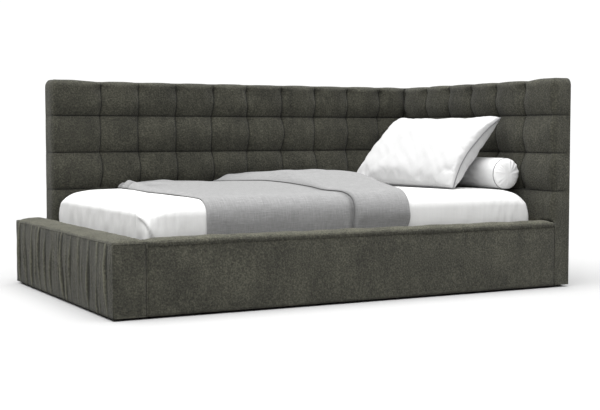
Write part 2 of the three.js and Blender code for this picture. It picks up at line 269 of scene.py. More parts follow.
def smooth(share):
    """A soft step, from 0 at share 0 to 1 at share 1."""
    near = min(max(share, 0), 1)
    return near * near * (3 - 2 * near)


def nearest(value, marks):
    """Distance to the closest of some marks."""
    return min((abs(value - mark) for mark in marks), default=1.0)


def fold_line(value, width):
    """1 on a line and 0 a little way off it."""
    return math.exp(-((value / width) ** 2))


def piece_from(name, bm, body, material):
    """Turns a bmesh into a smooth-shaded piece that rides on a body."""
    mesh = bpy.data.meshes.new(name)
    bm.to_mesh(mesh)
    bm.free()
    mesh.shade_smooth()
    mesh.materials.append(material)
    piece = bpy.data.objects.new(name, mesh)
    bpy.context.scene.collection.objects.link(piece)
    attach(piece, body)
    return piece


def soften(piece):
    """Gives a piece one level of subdivision."""
    modifier = piece.modifiers.new("Soft surface", "SUBSURF")
    modifier.levels = modifier.render_levels = 1


def tube(name, points, radius, body, material, closed=False):
    """A round cord of mesh through the given points."""
    curve = bpy.data.curves.new(name, "CURVE")
    curve.dimensions = "3D"
    curve.bevel_depth = radius
    curve.bevel_resolution = 3
    curve.use_fill_caps = not closed
    spline = curve.splines.new("POLY")
    spline.points.add(len(points) - 1)
    for spot, point in zip(spline.points, points):
        spot.co = (*point, 1)
    spline.use_cyclic_u = closed
    maker = bpy.data.objects.new(name + "_line", curve)
    bpy.context.scene.collection.objects.link(maker)
    graph = bpy.context.evaluated_depsgraph_get()
    mesh = bpy.data.meshes.new_from_object(maker.evaluated_get(graph))
    bpy.data.objects.remove(maker)
    bpy.data.curves.remove(curve)
    bm = bmesh.new()
    bm.from_mesh(mesh)
    bpy.data.meshes.remove(mesh)
    bmesh.ops.remove_doubles(bm, verts=bm.verts, dist=1e-6)
    bmesh.ops.recalc_face_normals(bm, faces=bm.faces)
    return piece_from(name, bm, body, material)


def inflate(piece, held, pressure, frames, limit):
    """Fills a closed cloth piece with air by simulation, its cloth a little too large for the seam
    that holds it, and keeps the wrinkled shape that it takes, with no point moved over a limit."""
    group = piece.vertex_groups.new(name="seam")
    group.add(held, 1, "REPLACE")
    cloth = piece.modifiers.new("Filling", "CLOTH")
    settings = cloth.settings
    settings.quality = 6
    settings.mass = 0.25
    settings.tension_stiffness = 25
    settings.compression_stiffness = 25
    settings.shear_stiffness = 8
    settings.bending_stiffness = 0.25
    settings.shrink_min = -0.025
    settings.vertex_group_mass = group.name
    settings.pin_stiffness = 1
    settings.use_pressure = True
    settings.uniform_pressure_force = pressure
    settings.effector_weights.gravity = 0
    cloth.collision_settings.use_collision = False
    cloth.point_cache.frame_start = 1
    cloth.point_cache.frame_end = frames
    scene = bpy.context.scene
    for step in range(1, frames + 1):
        scene.frame_set(step)
    graph = bpy.context.evaluated_depsgraph_get()
    shape = bpy.data.meshes.new_from_object(piece.evaluated_get(graph))
    for vertex, filled in zip(piece.data.vertices, shape.vertices):
        move = filled.co - vertex.co
        vertex.co += move * (limit * math.tanh(move.length / limit) / max(move.length, 1e-9))
    piece.modifiers.remove(cloth)
    piece.vertex_groups.remove(group)
    bpy.data.meshes.remove(shape)
    scene.frame_set(1)


# ---------------------------------------------------------------- materials


def node(tree, kind, inputs=None, **settings):
    """Adds a node, sets it up, and feeds its inputs from values or from other nodes' sockets."""
    made = tree.nodes.new(kind)
    for key, value in settings.items():
        setattr(made, key, value)
    for key, value in (inputs or {}).items():
        if isinstance(value, bpy.types.NodeSocket):
            tree.links.new(value, made.inputs[key])
        else:
            made.inputs[key].default_value = value
    return made


def noise_at(tree, vector, scale, detail=2.0, roughness=0.5):
    inputs = {"Vector": vector, "Scale": scale, "Detail": detail, "Roughness": roughness}
    return node(tree, "ShaderNodeTexNoise", inputs).outputs["Fac"]


def maths(tree, operation, *values):
    """The result of a sum on two or three values, any of which may be a socket."""
    return node(tree, "ShaderNodeMath", dict(enumerate(values)), operation=operation).outputs[0]


def spread(tree, value, low, high):
    """Stretches the range from low to high over 0 to 1."""
    inputs = {"Value": value, "From Min": low, "From Max": high}
    return node(tree, "ShaderNodeMapRange", inputs).outputs["Result"]


def painted(tree, name):
    """A tone that a piece's own mesh carries, and 0 on a mesh without it."""
    return node(tree, "ShaderNodeAttribute", attribute_name=name).outputs["Fac"]


def stretched(tree, vector, scale):
    """The vector with its pattern scaled along each axis."""
    return node(tree, "ShaderNodeMapping", {"Vector": vector, "Scale": scale}).outputs["Vector"]


def mixed(tree, factor, first, second, blend="MIX"):
    """Mixes two colours, either of which may be a socket."""
    mix = node(tree, "ShaderNodeMix", data_type="RGBA", blend_type=blend)
    for socket, value in ((mix.inputs[0], factor), (mix.inputs[6], first), (mix.inputs[7], second)):
        if isinstance(value, bpy.types.NodeSocket):
            tree.links.new(value, socket)
        elif socket.type == "RGBA":
            socket.default_value = (*value, 1)
        else:
            socket.default_value = value
    return mix.outputs[2]


def effect_group(name, inputs, outputs):
    """A node group with named inputs and outputs, and the sockets that its nodes join on to."""
    tree = bpy.data.node_groups.new(name, "ShaderNodeTree")
    for label, kind, value in inputs:
        socket = tree.interface.new_socket(label, in_out="INPUT", socket_type=kind)
        if value is not None:
            socket.default_value = value
    for label in outputs:
        tree.interface.new_socket(label, in_out="OUTPUT", socket_type="NodeSocketFloat")
    given = tree.nodes.new("NodeGroupInput").outputs
    result = tree.nodes.new("NodeGroupOutput").inputs
    return tree, given, result


def make_pile_group():
    """Nubby pile: large tone changes, streaks of the nap that run down, and small nubs."""
    tree, given, result = effect_group(
        "nubby_pile",
        [("Vector", "NodeSocketVector", None), ("Nub Scale", "NodeSocketFloat", 130.0),
         ("Streaks", "NodeSocketFloat", 0.35)],
        ["Tone", "Height"])
    at = given["Vector"]
    clouds = spread(tree, noise_at(tree, at, 6.0, 4.0, 0.6), 0.34, 0.66)
    streaks_and_painted_light = spread(tree, noise_at(tree, stretched(tree, at, (34, 34, 9)), 1.0, 3.0), 0.3, 0.7)
    nubs = spread(tree, noise_at(tree, at, given["Nub Scale"], 3.0, 0.7), 0.36, 0.66)
    fine = spread(tree, noise_at(tree, at, 420.0, 2.0, 0.6), 0.3, 0.7)
    streaks = maths(tree, "MULTIPLY", streaks_and_painted_light, given["Streaks"])
    base = maths(tree, "MULTIPLY_ADD", clouds, 0.22, streaks)
    tree.links.new(maths(tree, "MULTIPLY_ADD", nubs, 0.56, base), result["Tone"])
    tree.links.new(maths(tree, "MULTIPLY_ADD", fine, 0.4, nubs), result["Height"])


def make_weave_group():
    """Plain weave: uneven threads that run both ways over a flat pattern given in metres."""
    tree, given, result = effect_group(
        "plain_weave",
        [("Vector", "NodeSocketVector", None), ("Threads", "NodeSocketFloat", 300.0),
         ("Slub Length", "NodeSocketFloat", 12.0)],
        ["Tone", "Height"])
    fine, long = given["Threads"], given["Slub Length"]
    sides = []
    for lengthwise in (True, False):
        scale = node(tree, "ShaderNodeCombineXYZ", {
            "X": long if lengthwise else fine, "Y": fine if lengthwise else long, "Z": 1.0})
        threads = stretched(tree, given["Vector"], scale.outputs[0])
        sides.append(spread(tree, noise_at(tree, threads, 1.0, 2.0, 0.6), 0.3, 0.7))
    both = maths(tree, "ADD", *sides)
    tree.links.new(maths(tree, "MULTIPLY", both, 0.5), result["Tone"])
    tree.links.new(maths(tree, "MAXIMUM", *sides), result["Height"])


def make_grain_group():
    """Long wood grain along the local X of the vector that it's given."""
    tree, given, result = effect_group(
        "wood_grain",
        [("Vector", "NodeSocketVector", None), ("Fineness", "NodeSocketFloat", 60.0)],
        ["Tone", "Height"])
    grain = stretched(tree, given["Vector"], (0.05, 1, 1))
    lines = noise_at(tree, grain, given["Fineness"], 4.0, 0.6)
    clouds = maths(tree, "MULTIPLY", noise_at(tree, grain, 9.0, 2.0), 0.4)
    tone = maths(tree, "MULTIPLY_ADD", spread(tree, lines, 0.3, 0.7), 0.6, clouds)
    tree.links.new(tone, result["Tone"])
    tree.links.new(lines, result["Height"])


def placed_group(tree, name, inputs):
    """The outputs of an effect's node group placed in a material."""
    return node(tree, "ShaderNodeGroup", inputs, node_tree=bpy.data.node_groups[name]).outputs


def new_material(name, roughness, metallic=0.0, sheen=0.0):
    """A material with a Principled shader, and its node tree, shader and object coordinates."""
    material = bpy.data.materials.new(name)
    material.use_nodes = True
    tree = material.node_tree
    shader = tree.nodes["Principled BSDF"]
    shader.inputs["Roughness"].default_value = roughness
    shader.inputs["Metallic"].default_value = metallic
    shader.inputs["Specular IOR Level"].default_value = 0.25
    shader.inputs["Sheen Weight"].default_value = sheen
    shader.inputs["Sheen Roughness"].default_value = 0.5
    at = node(tree, "ShaderNodeTexCoord").outputs
    return material, tree, shader, at


def bump(tree, shader, height, strength, distance):
    """Raises a material's surface by a height."""
    inputs = {"Height": height, "Strength": strength, "Distance": distance}
    made = node(tree, "ShaderNodeBump", inputs)
    tree.links.new(made.outputs["Normal"], shader.inputs["Normal"])


def make_pile_material(look):
    """The upholstery's pile, lighter with painted light where the mesh carries it (highlight on gather
    ridges and pad tops, with thread streaks), and darker with painted shade along its seams and in
    gather hollows.
    """
    _, tree, shader, at = new_material("olive_pile", 0.92, sheen=0.08)
    pile = placed_group(tree, "nubby_pile", {"Vector": at["Object"], "Streaks": 0.14})
    # Painted light: the mesh's layer lightens the pile on gather ridges and pad tops, and adds thread
    # streaks.
    tone = maths(tree, "ADD", pile["Tone"], painted(tree, "streaks_and_painted_light"))
    below = mixed(tree, spread(tree, tone, 0.0, 0.52), look.dark_colour, look.colour)
    above = mixed(tree, spread(tree, tone, 0.5, 1.0), below, look.light_colour)
    # Painted shade: near-black is mixed in along the seams and in the gather hollows, where the mesh's
    # crease layer says.
    seam = maths(tree, "MULTIPLY", painted(tree, "crease"), 0.85)
    shaded = mixed(tree, seam, above, (0.006, 0.006, 0.005))
    tree.links.new(shaded, shader.inputs["Base Color"])
    bump(tree, shader, pile["Height"], 0.9, 0.0022)


def make_cotton_material(name, colour):
    """Close cotton with light creasing, darker with painted shade where the mesh says that it is
    folded.
    """
    _, tree, shader, at = new_material(name, 0.85, sheen=0.08)
    weave = placed_group(tree, "plain_weave", {
        "Vector": at["Object"], "Threads": 900.0, "Slub Length": 90.0})
    creased = noise_at(tree, at["Object"], 14.0, 4.0, 0.55)
    between_threads = tuple(part * 0.93 for part in colour)
    tone = mixed(tree, weave["Tone"], between_threads, colour)
    # Painted shade: the folds and pleat hollows that the mesh marks get 0.3 of the cotton's colour.
    hollow = tuple(part * 0.3 for part in colour)
    shaded = mixed(tree, painted(tree, "crease"), tone, hollow)
    tree.links.new(shaded, shader.inputs["Base Color"])
    height = maths(tree, "MULTIPLY_ADD", creased, 6.0, weave["Height"])
    bump(tree, shader, height, 0.35, 0.0006)


def make_linen_material(look):
    """Open linen whose threads follow the flat cut of the cloth."""
    _, tree, shader, at = new_material("grey_linen", 0.95, sheen=0.2)
    threads = placed_group(tree, "plain_weave", {
        "Vector": at["UV"], "Threads": 260.0, "Slub Length": 16.0})
    fine = placed_group(tree, "plain_weave", {
        "Vector": at["UV"], "Threads": 700.0, "Slub Length": 40.0})
    slubs = maths(tree, "MULTIPLY", threads["Tone"], 0.5)
    tone = maths(tree, "MULTIPLY_ADD", fine["Tone"], 0.5, slubs)
    colour = mixed(tree, spread(tree, tone, 0.15, 0.85), look.linen_dark, look.linen_colour)
    # Painted shade: dark along the blanket's crease, its rolled free edge and the hollows of its
    # heaped folds.
    fold = maths(tree, "MULTIPLY", painted(tree, "crease"), 0.62)
    tree.links.new(mixed(tree, fold, colour, (0.03, 0.03, 0.03)), shader.inputs["Base Color"])
    bump(tree, shader, threads["Height"], 0.6, 0.0012)


def make_wood_material(name, tones, fineness, roughness, turn):
    """Wood whose grain runs along X, or turned from it about the upright axis."""
    _, tree, shader, at = new_material(name, roughness)
    turned = node(tree, "ShaderNodeMapping", {
        "Vector": at["Object"], "Rotation": (0, 0, turn)}).outputs["Vector"]
    grain = placed_group(tree, "wood_grain", {"Vector": turned, "Fineness": fineness})
    tree.links.new(mixed(tree, grain["Tone"], *tones), shader.inputs["Base Color"])
    rough = maths(tree, "MULTIPLY_ADD", grain["Tone"], -0.15, roughness + 0.1)
    tree.links.new(rough, shader.inputs["Roughness"])
    bump(tree, shader, grain["Height"], 0.3, 0.0006)


def make_coated_material(name, colour, roughness, metallic, scale):
    """Powder coat or moulded plastic: an even colour with a fine pebbled surface and light dust."""
    _, tree, shader, at = new_material(name, roughness, metallic)
    pebbles = noise_at(tree, at["Object"], scale, 2.0)
    dust = spread(tree, noise_at(tree, at["Object"], 6.0, 4.0), 0.45, 0.8)
    dusty = tuple(0.85 * part + 0.03 for part in colour)
    tree.links.new(mixed(tree, dust, colour, dusty), shader.inputs["Base Color"])
    rough = maths(tree, "MULTIPLY_ADD", dust, 0.2, roughness)
    tree.links.new(rough, shader.inputs["Roughness"])
    bump(tree, shader, pebbles, 0.4, 0.0003)


BOARD_TONES = ((0.34, 0.21, 0.10), (0.55, 0.37, 0.19))
BIRCH_TONES = ((0.55, 0.38, 0.19), (0.76, 0.60, 0.36))


def make_materials(upholstery, bedding):
    make_pile_group()
    make_weave_group()
    make_grain_group()
    make_pile_material(upholstery)
    make_cotton_material("white_sheeting", tuple(bedding.sheet_colour))
    # The same cotton in two tones: darker for the pillow as painted shade, lighter for the bolster as
    # painted light.
    make_cotton_material("pillow_cotton", tuple(bedding.pillow_colour))
    make_cotton_material("bolster_cotton", tuple(bedding.bolster_colour))
    make_cotton_material("grey_piping", tuple(bedding.piping_colour))
    make_linen_material(bedding)
    quarter = math.radians(90)
    make_wood_material("raw_board", BOARD_TONES, 45.0, 0.75, 0)
    make_wood_material("raw_board_across", BOARD_TONES, 45.0, 0.75, quarter)
    make_wood_material("lacquered_birch", BIRCH_TONES, 70.0, 0.42, quarter)
    make_coated_material("black_powder_coat", (0.022, 0.023, 0.025), 0.42, 0.3, 900.0)
    make_coated_material("zinc_steel", (0.52, 0.52, 0.50), 0.35, 1.0, 500.0)
    make_coated_material("black_plastic", (0.014, 0.014, 0.014), 0.5, 0.0, 1200.0)


def material(name):
    return bpy.data.materials[name]


# ---------------------------------------------------------------- covered frame


def tuft_swell(distance, reach, fullness=2.3):
    """Rise of a tuft from its seam, steep at first and level in the middle."""
    return 1 - (1 - min(distance / reach, 1)) ** fullness


SEAM_GROOVE = 0.0035  # depth and half width of the groove that a seam makes
# The dark line along a seam is painted shade in the colour.
SEAM_SHADE_WIDTH = 0.0034  # half width of the dark line along it
PUCKER_REACH = 0.022  # how far the small puckers run out from a seam
END_REACH = 0.08  # how much of a panel's length its drawn-in end takes
CORNER_LIFT = 0.005  # how far the cover stands up at the free top corner
SEAM_RETREAT = 0.020  # how far the upright seams lie back below the top edge


def seam_detail(u, v, seam, seed):
    """Small height changes of a tufted face: light waves, and a seam's groove and puckers."""
    waves = 0.0012 * ripple(u * 13, v * 13, seed) * min(seam / 0.02, 1)
    pucker = math.exp(-seam / PUCKER_REACH) * min(seam / 0.005, 1)
    puckers = 0.0026 * pucker * ripple(u * 75, v * 75, 3.1)
    return waves + puckers - SEAM_GROOVE * fold_line(seam, SEAM_GROOVE)


def seam_sway(u, v, columns, row, slack):
    """How far an upright seam lies to one side: a small waver, and a bow where it is slack."""
    column = min(columns, key=lambda c: abs(u - c))
    bow = ripple(column * 5.3, row * 1.7, 7.7)
    return 0.003 * ripple(v * 14, u * 40, 7.7) + 0.020 * slack * bow


def tufted_panel(
        name, place, length, height, depth, columns, rows, end_depth, end_inset, set_back, look):
    """A tall padded panel, tufted on its face. It is drawn with x along it from its free end, y
    from the face back and z up. length and height are its ranges, columns and rows its seams.
    end_depth is the share of the seams' depth that goes round the free end, and end_inset how far
    that end is drawn in above the level of the block's top seam. set_back gives how deep the face
    lies at a place, and whether its edge stays square, where another piece stands against it."""
    reach = look.tuft_height / 2
    step = look.tuft_height / 19
    bm = lattice_box(
        spaced([length[0], *columns, length[1]], step, 0.6),
        spaced([0, look.panel_edge, depth - look.panel_rear_edge, depth], look.panel_edge / 5),
        spaced([height[0], *rows, height[1]], step, 0.6))
    crease = bm.verts.layers.float.new("crease")
    low = Vector((length[0], 0, height[0] - look.panel_corner))
    high = Vector((length[1], depth, height[1]))
    for vertex in bm.verts:
        u, d, v = vertex.co
        fade = 1 - (d / depth) ** 4
        column, row = sum(u > c for c in columns), sum(v > r for r in rows)
        column_gap = nearest(u, columns) if v > rows[0] else 1.0
        row_gap = nearest(v, rows)
        seam = min(column_gap, row_gap)
        across, up = tuft_swell(column_gap, reach), tuft_swell(row_gap, reach)
        slack = tuft_swell(row_gap, reach, 1.7)
        rise = look.puff * (0.95 + 0.05 * noise.cell(Vector((column, row, 0.5)))) * across * up
        rise += look.puff * (0.76 * slack * (1 - across) + 0.52 * across * (1 - up))
        rise += seam_detail(u, v, seam, depth)

        crown = smooth((v - high.z + 0.085) / 0.045)
        front = d < depth / 2
        far = u > (length[0] + length[1]) / 2
        end = look.panel_end if front else look.panel_rear_end
        edges = (
            look.panel_rear_edge if far else end + (look.panel_corner - end) * crown,
            look.panel_edge if front else look.panel_rear_edge,
            look.panel_corner)
        base, out = rounded(vertex.co, low, high, edges)
        shallow = 1 - (1 if far else 1 - end_depth) * min(abs(out.x), 1)
        shallow *= 1 - 0.45 * max(out.z, 0)
        moved = base + out * (rise - look.puff) * fade * shallow

        corner = smooth((v - rows[-1]) / 0.1) * smooth((length[0] + 0.22 - u) / 0.1)
        moved.z += CORNER_LIFT * corner * max(out.z, 0)
        inset = end_inset * smooth((v - SEAM_HEIGHT + 0.006) / 0.02)
        moved.x += inset * max(1 - (u - length[0]) / END_REACH, 0)
        under_edge = smooth((v - high.z + 0.13) / 0.10) * (1 - max(out.z, 0))
        moved.y += SEAM_RETREAT * under_edge * (1 - across) * fade
        if column_gap < reach:
            moved.x += (1 - across) * fade * seam_sway(u, v, columns, row, slack)
        back, square = set_back(u, v)
        if back and d < back:
            moved = Vector((u, back, v)) if square else Vector((moved.x, back, moved.z))
        elif square and d < depth / 2:
            moved = Vector((u, d, v))
        vertex.co = moved
        # Painted shade along the seams, fading towards the panel's back.
        vertex[crease] = fold_line(seam, SEAM_SHADE_WIDTH) * fade
    bmesh.ops.transform(bm, matrix=place, verts=bm.verts)
    bmesh.ops.recalc_face_normals(bm, faces=bm.faces)
    return piece_from(name, bm, BED, material("olive_pile"))


def panel_rows(look):
    """Heights of the level seams, lowest first."""
    top = BACK_HIGH.z - look.top_tuft
    return [top - i * look.tuft_height for i in reversed(range(look.tuft_rows))]


def seam_positions(start, first, pitch, end):
    """Places of the upright seams, from the free end to just short of the corner."""
    positions = [start + first]
    while positions[-1] + 1.5 * pitch < end:
        positions.append(positions[-1] + pitch)
    return positions


def build_panels(look):
    """The two tall panels, which meet in a corner. Each stops short of the frame's own boards."""
    rows = panel_rows(look)
    recess = 0.024  # depth of the upright groove where the two faces meet
    clear = 0.0005  # gap to a board behind the cover
    corner_x = HEAD_LOW.x + recess
    corner_y = BACK_LOW.y + recess

    def back_set(u, v):
        if v < PADDING_FOOT:
            return BACK_BOARD_LOW.y - BACK_LOW.y - clear, False
        if u > corner_x + 0.004:
            return recess + 0.008, False
        return 0, False

    def head_set(u, v):
        if u < RAIL_HIGH.y and v < RAIL_HIGH.z - 0.004:
            return RAIL_HIGH.x + 0.0006 - HEAD_LOW.x, True
        if u > corner_y - 0.006:
            return HEAD_BOARD_LOW.x - HEAD_LOW.x, False
        if v < PADDING_FOOT:
            return HEAD_BOARD_LOW.x - HEAD_LOW.x - clear, False
        return 0, False

    back_columns = seam_positions(BACK_LOW.x, look.first_back_tuft, look.back_tuft, corner_x)
    back = tufted_panel(
        "back_panel_cover", Matrix.Translation((0, BACK_LOW.y, 0)),
        (BACK_LOW.x, BACK_HIGH.x), (BACK_LOW.z, BACK_HIGH.z), BACK_HIGH.y - BACK_LOW.y,
        [*back_columns, corner_x], rows, 0.3, 0.009, back_set, look)
    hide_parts("back_panel_upholstery")

    head_columns = seam_positions(HEAD_LOW.y, look.first_head_tuft, look.head_tuft, corner_y)
    swap = Matrix(((0, 1, 0, HEAD_LOW.x), (1, 0, 0, 0), (0, 0, 1, 0), (0, 0, 0, 1)))
    head = tufted_panel(
        "head_panel_cover", swap,
        (HEAD_LOW.y, HEAD_HIGH.y), (HEAD_LOW.z, HEAD_HIGH.z), HEAD_HIGH.x - HEAD_LOW.x,
        [*head_columns, corner_y], rows, 0.6, 0.0, head_set, look)
    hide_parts("head_panel_upholstery")


def top_pad(name, low, high, end_reach, seed):
    """The crowned pad over a block or rail. low and high are the corners of its seam outline."""
    width, length = high.x - low.x, high.y - low.y
    side_reach = min(width, length, 0.11) / 2
    along_x = width > length
    reach_x = end_reach if along_x else side_reach
    reach_y = side_reach if along_x else end_reach
    fine, plain = 0.005, 0.011
    xs = spaced([low.x, high.x], plain if along_x else fine, 0.0 if along_x else 0.35)
    ys = spaced([low.y, high.y], fine if along_x else plain, 0.35 if along_x else 0.0)
    bm = lattice_box(xs, ys, [low.z - 0.012, low.z])
    streaks_and_painted_light = bm.verts.layers.float.new("streaks_and_painted_light")
    for vertex in bm.verts:
        x, y, z = vertex.co
        if z < low.z - 0.001:
            continue
        side_x = min(x - low.x, high.x - x)
        side_y = min(y - low.y, high.y - y)
        rise = CROWN * arch(side_x / reach_x) * arch(side_y / reach_y)
        rise *= 1 + 0.22 * ripple(x * 9, y * 9, seed)
        edge = min(side_x, side_y)
        pucker = math.exp(-edge / 0.02) * min(edge / 0.006, 1)
        rise += 0.003 * pucker * ripple(x * 60, y * 60, seed + 2)
        ear = 0.008 * math.exp(-((math.hypot(side_x, side_y) / 0.014) ** 2))
        vertex.co.z = z + max(rise, 0) + ear
        # Painted light: the pad's top is lighter than its seam edge, for the light from above.
        vertex[streaks_and_painted_light] = 0.26 * smooth(edge / 0.006)
    pad = piece_from(name, bm, BED, material("olive_pile"))
    return pad


def gathers(y, z, spacing, width, seed):
    """Height of the upright gathers at a place. They are uneven in spacing, strength and line."""
    height = 0.0
    middle = math.floor(y / spacing)
    for i in (middle - 1, middle, middle + 1):
        uneven = 0.5 + 0.7 * ripple(i * 1.37, 0.5, seed)
        line = (i + uneven) * spacing
        line += 0.026 * ripple(i * 2.1, z * 4, seed) + 0.007 * ripple(i * 3.1, z * 15, seed)
        strength = max(0.62 + 1.1 * ripple(i * 1.9, z * 6, seed + 5), 0.06)
        height = max(height, strength * fold_line(y - line, width))
    return height


def gathered_cover(look):
    """The foot block's sides, with upright gathers over the outer face."""
    low = BLOCK_LOW.copy()
    high = Vector((BLOCK_HIGH.x, BLOCK_HIGH.y, SEAM_HEIGHT))
    bm = lattice_box(
        spaced([low.x, high.x], 0.009),
        spaced([low.y, high.y], 0.0034),
        spaced([low.z, high.z], 0.0095))
    crease = bm.verts.layers.float.new("crease")
    streaks_and_painted_light = bm.verts.layers.float.new("streaks_and_painted_light")
    for vertex in bm.verts:
        x, y, z = vertex.co
        share = (z - low.z) / (high.z - low.z)
        belly = math.sin(math.pi * share)  # fullest half way up
        base = upright_rounded(vertex.co, low, high, COVER_EDGE)
        if x == low.x:
            broad = gathers(y, z, look.gather_width, 0.0070, 1.5)
            small = gathers(y, z, look.gather_width * 0.45, 0.005, 8.5)
            valley = gathers(y + 0.016, z, look.gather_width, 0.0085, 1.5)
            fine = ripple(y * 83, z * 9, 3.5) * math.exp(-min(share, 1 - share) / 0.12)
            ridge = 0.75 * broad + 0.25 * small + 0.2 * fine - 0.35 * valley
            end = smooth(min(y - low.y, high.y - y) / 0.03)
            base.x -= look.gather_depth * (0.4 + 0.6 * belly) * (ridge - 0.1) * end
            base.x -= 0.007 * belly ** 0.6 * end
            # Painted shade in the hollow beside each gather, and painted highlight on its ridge, with
            # thread streaks mixed in.
            vertex[crease] = 0.42 * valley * end
            threads = ripple(y * 72, z * 5, 6.5)
            vertex[streaks_and_painted_light] = (0.85 * ridge + 0.10 * threads - 0.09) * end
        else:
            swell = 0.004 * belly * arch(min(x - low.x, high.x - x) / 0.04)
            base.y += swell * (1 if y == high.y else -1 if y == low.y else 0)
            if x == high.x:
                base.x += 0.0012 * ripple(y * 11, z * 14, 2.2)
        vertex.co = base
    cover = piece_from("foot_block_cover", bm, BED, material("olive_pile"))
    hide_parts("foot_block_upholstery")


def build_foot_block(look):
    """The block's gathered cover, its top pad and the welts along its outer seams."""
    gathered_cover(look)
    low = Vector((BLOCK_LOW.x, BLOCK_LOW.y, SEAM_HEIGHT))
    high = Vector((BLOCK_HIGH.x, BLOCK_HIGH.y, SEAM_HEIGHT))
    top_pad("foot_block_top_pad", low, high, 0.055, 1.0)
    outer, inner = BLOCK_LOW.x + WELT_INSET, BLOCK_HIGH.x - WELT_INSET
    front, back = BLOCK_LOW.y + WELT_INSET, BLOCK_HIGH.y - WELT_INSET
    for name, line in (
        ("foot_block_top_welt", [(outer, front, SEAM_HEIGHT), (outer, back, SEAM_HEIGHT)]),
        ("foot_block_front_welt", [(outer, front, FLOOR_GAP), (outer, front, SEAM_HEIGHT)]),
        ("foot_block_back_welt", [(outer, back, FLOOR_GAP), (outer, back, SEAM_HEIGHT)]),
        ("foot_block_end_welt", [(outer, front, SEAM_HEIGHT), (inner, front, SEAM_HEIGHT)]),
        ("foot_block_rear_welt", [(outer, back, SEAM_HEIGHT), (inner, back, SEAM_HEIGHT)]),
    ):
        welt(name, line, look)


def welt(name, line, look):
    """A raised seam between two points, a little uneven as a hand-sewn one is."""
    start, end = Vector(line[0]), Vector(line[1])
    count = max(2, round((end - start).length / 0.02))
    points = []
    for i in range(count + 1):
        point = start.lerp(end, i / count)
        wander = 0.0012 if 0 < i < count else 0
        x, y, z = point * 17
        sway = Vector((ripple(x, y, z), ripple(y, z, x + 9), ripple(z, x, y + 5)))
        points.append(point + wander * sway)
    return tube(name, points, look.welt, BED, material("olive_pile"))


def build_front_rail(look):
    """The rail's cover, its top pad and the welts along its front seams."""
    low = RAIL_LOW.copy()
    high = Vector((RAIL_HIGH.x, RAIL_HIGH.y, SEAM_HEIGHT))
    bm = lattice_box(
        spaced([low.x, high.x], 0.013), spaced([low.y, high.y], 0.01), spaced([low.z, high.z], 0.011))
    for vertex in bm.verts:
        x, y, z = vertex.co
        share = (z - low.z) / (high.z - low.z)
        base = upright_rounded(vertex.co, low, high, RAIL_EDGE)
        if y in (low.y, high.y):
            ends = smooth(min(x - low.x, high.x - x) / 0.05)
            swell = 0.004 * math.sin(math.pi * share) + 0.0022 * ripple(x * 5, z * 9, 1.1)
            swell += 0.0009 * ripple(x * 26, z * 12, 6.0)
            base.y += swell * ends * (1 if y == high.y else -1)
        vertex.co = base
    cover = piece_from("front_rail_cover", bm, BED, material("olive_pile"))
    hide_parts("front_rail_upholstery")
    top_pad(
        "front_rail_top_pad", Vector((low.x, low.y - 0.003, SEAM_HEIGHT)), high, 0.075, 5.0)
    front, left, right = low.y + WELT_INSET - 0.002, low.x + WELT_INSET, high.x - WELT_INSET
    for name, line in (
        ("front_rail_top_welt", [(left, front, SEAM_HEIGHT), (right, front, SEAM_HEIGHT)]),
        ("front_rail_foot_welt", [(left, front, FLOOR_GAP), (left, front, SEAM_HEIGHT)]),
        ("front_rail_head_welt", [(right, front, FLOOR_GAP), (right, front, SEAM_HEIGHT)]),
    ):
        welt(name, line, look)


# ---------------------------------------------------------------- mattress and blanket

BED_EDGE = 0.070  # rounding of the mattress's long edges
BED_CORNER = 0.085  # rounding of its upright corners
BED_FOOT_CORNER = 0.030  # the same near the slats
BED_FOOT_EDGE = 0.020
BED_CROWN = 0.012  # how far the middle of its top stands up
BED_SAG = 0.006  # how far its edges lie below its nominal height
TUCK_SLOPE = 0.42  # how far the sheet's tucked fold runs along the bed for each metre down
TUCK_DEPTH = 0.0065  # how far the cloth past that fold stands out


def bed_crown(x, y):
    """How far the mattress's top stands above its nominal height."""
    middle = (BED_LOW + BED_HIGH) / 2
    half = (BED_HIGH - BED_LOW) / 2
    u, v = abs(x - middle.x) / half.x, abs(y - middle.y) / half.y
    crown = BED_CROWN * (1 - min(u, 1) ** 4) * (1 - min(v, 1) ** 4) - BED_SAG
    side = smooth((abs(y - middle.y) - half.y + 0.18) / 0.16)
    foot = max(1 - (x - BED_LOW.x) / 0.19, 0) ** 2
    head = max(1 - (BED_HIGH.x - x) / 0.17, 0) ** 2
    return crown - (0.018 + 0.016 * side) * foot - 0.030 * side * head


def bed_rounded(point):
    """A point of the mattress's lattice moved onto its rounded sides, the level way out there, and
    how much the surface faces out and up."""
    x, y, z = point
    low, high = BED_LOW, BED_HIGH
    upper = smooth((z - high.z + 0.13) / 0.10)
    corner = BED_FOOT_CORNER + (BED_CORNER - BED_FOOT_CORNER) * upper
    edge = BED_EDGE if z > (low.z + high.z) / 2 else BED_FOOT_EDGE
    core_x = min(max(x, low.x + corner), high.x - corner)
    core_y = min(max(y, low.y + corner), high.y - corner)
    core_z = min(max(z, low.z + BED_FOOT_EDGE), high.z - BED_EDGE)
    away = Vector((x - core_x, y - core_y))
    reach = max(abs(away.x), abs(away.y))
    out = away.normalized() if reach > 1e-9 else Vector((0, 0))
    core_reach = min(reach, corner - edge)
    over = Vector((reach - core_reach, z - core_z))
    over = over.normalized() if over.length > 1e-9 else Vector((0, 0))
    radial = core_reach + over.x * edge
    moved = Vector((core_x + out.x * radial, core_y + out.y * radial, core_z + over.y * edge))
    return moved, out, over.x, over.y


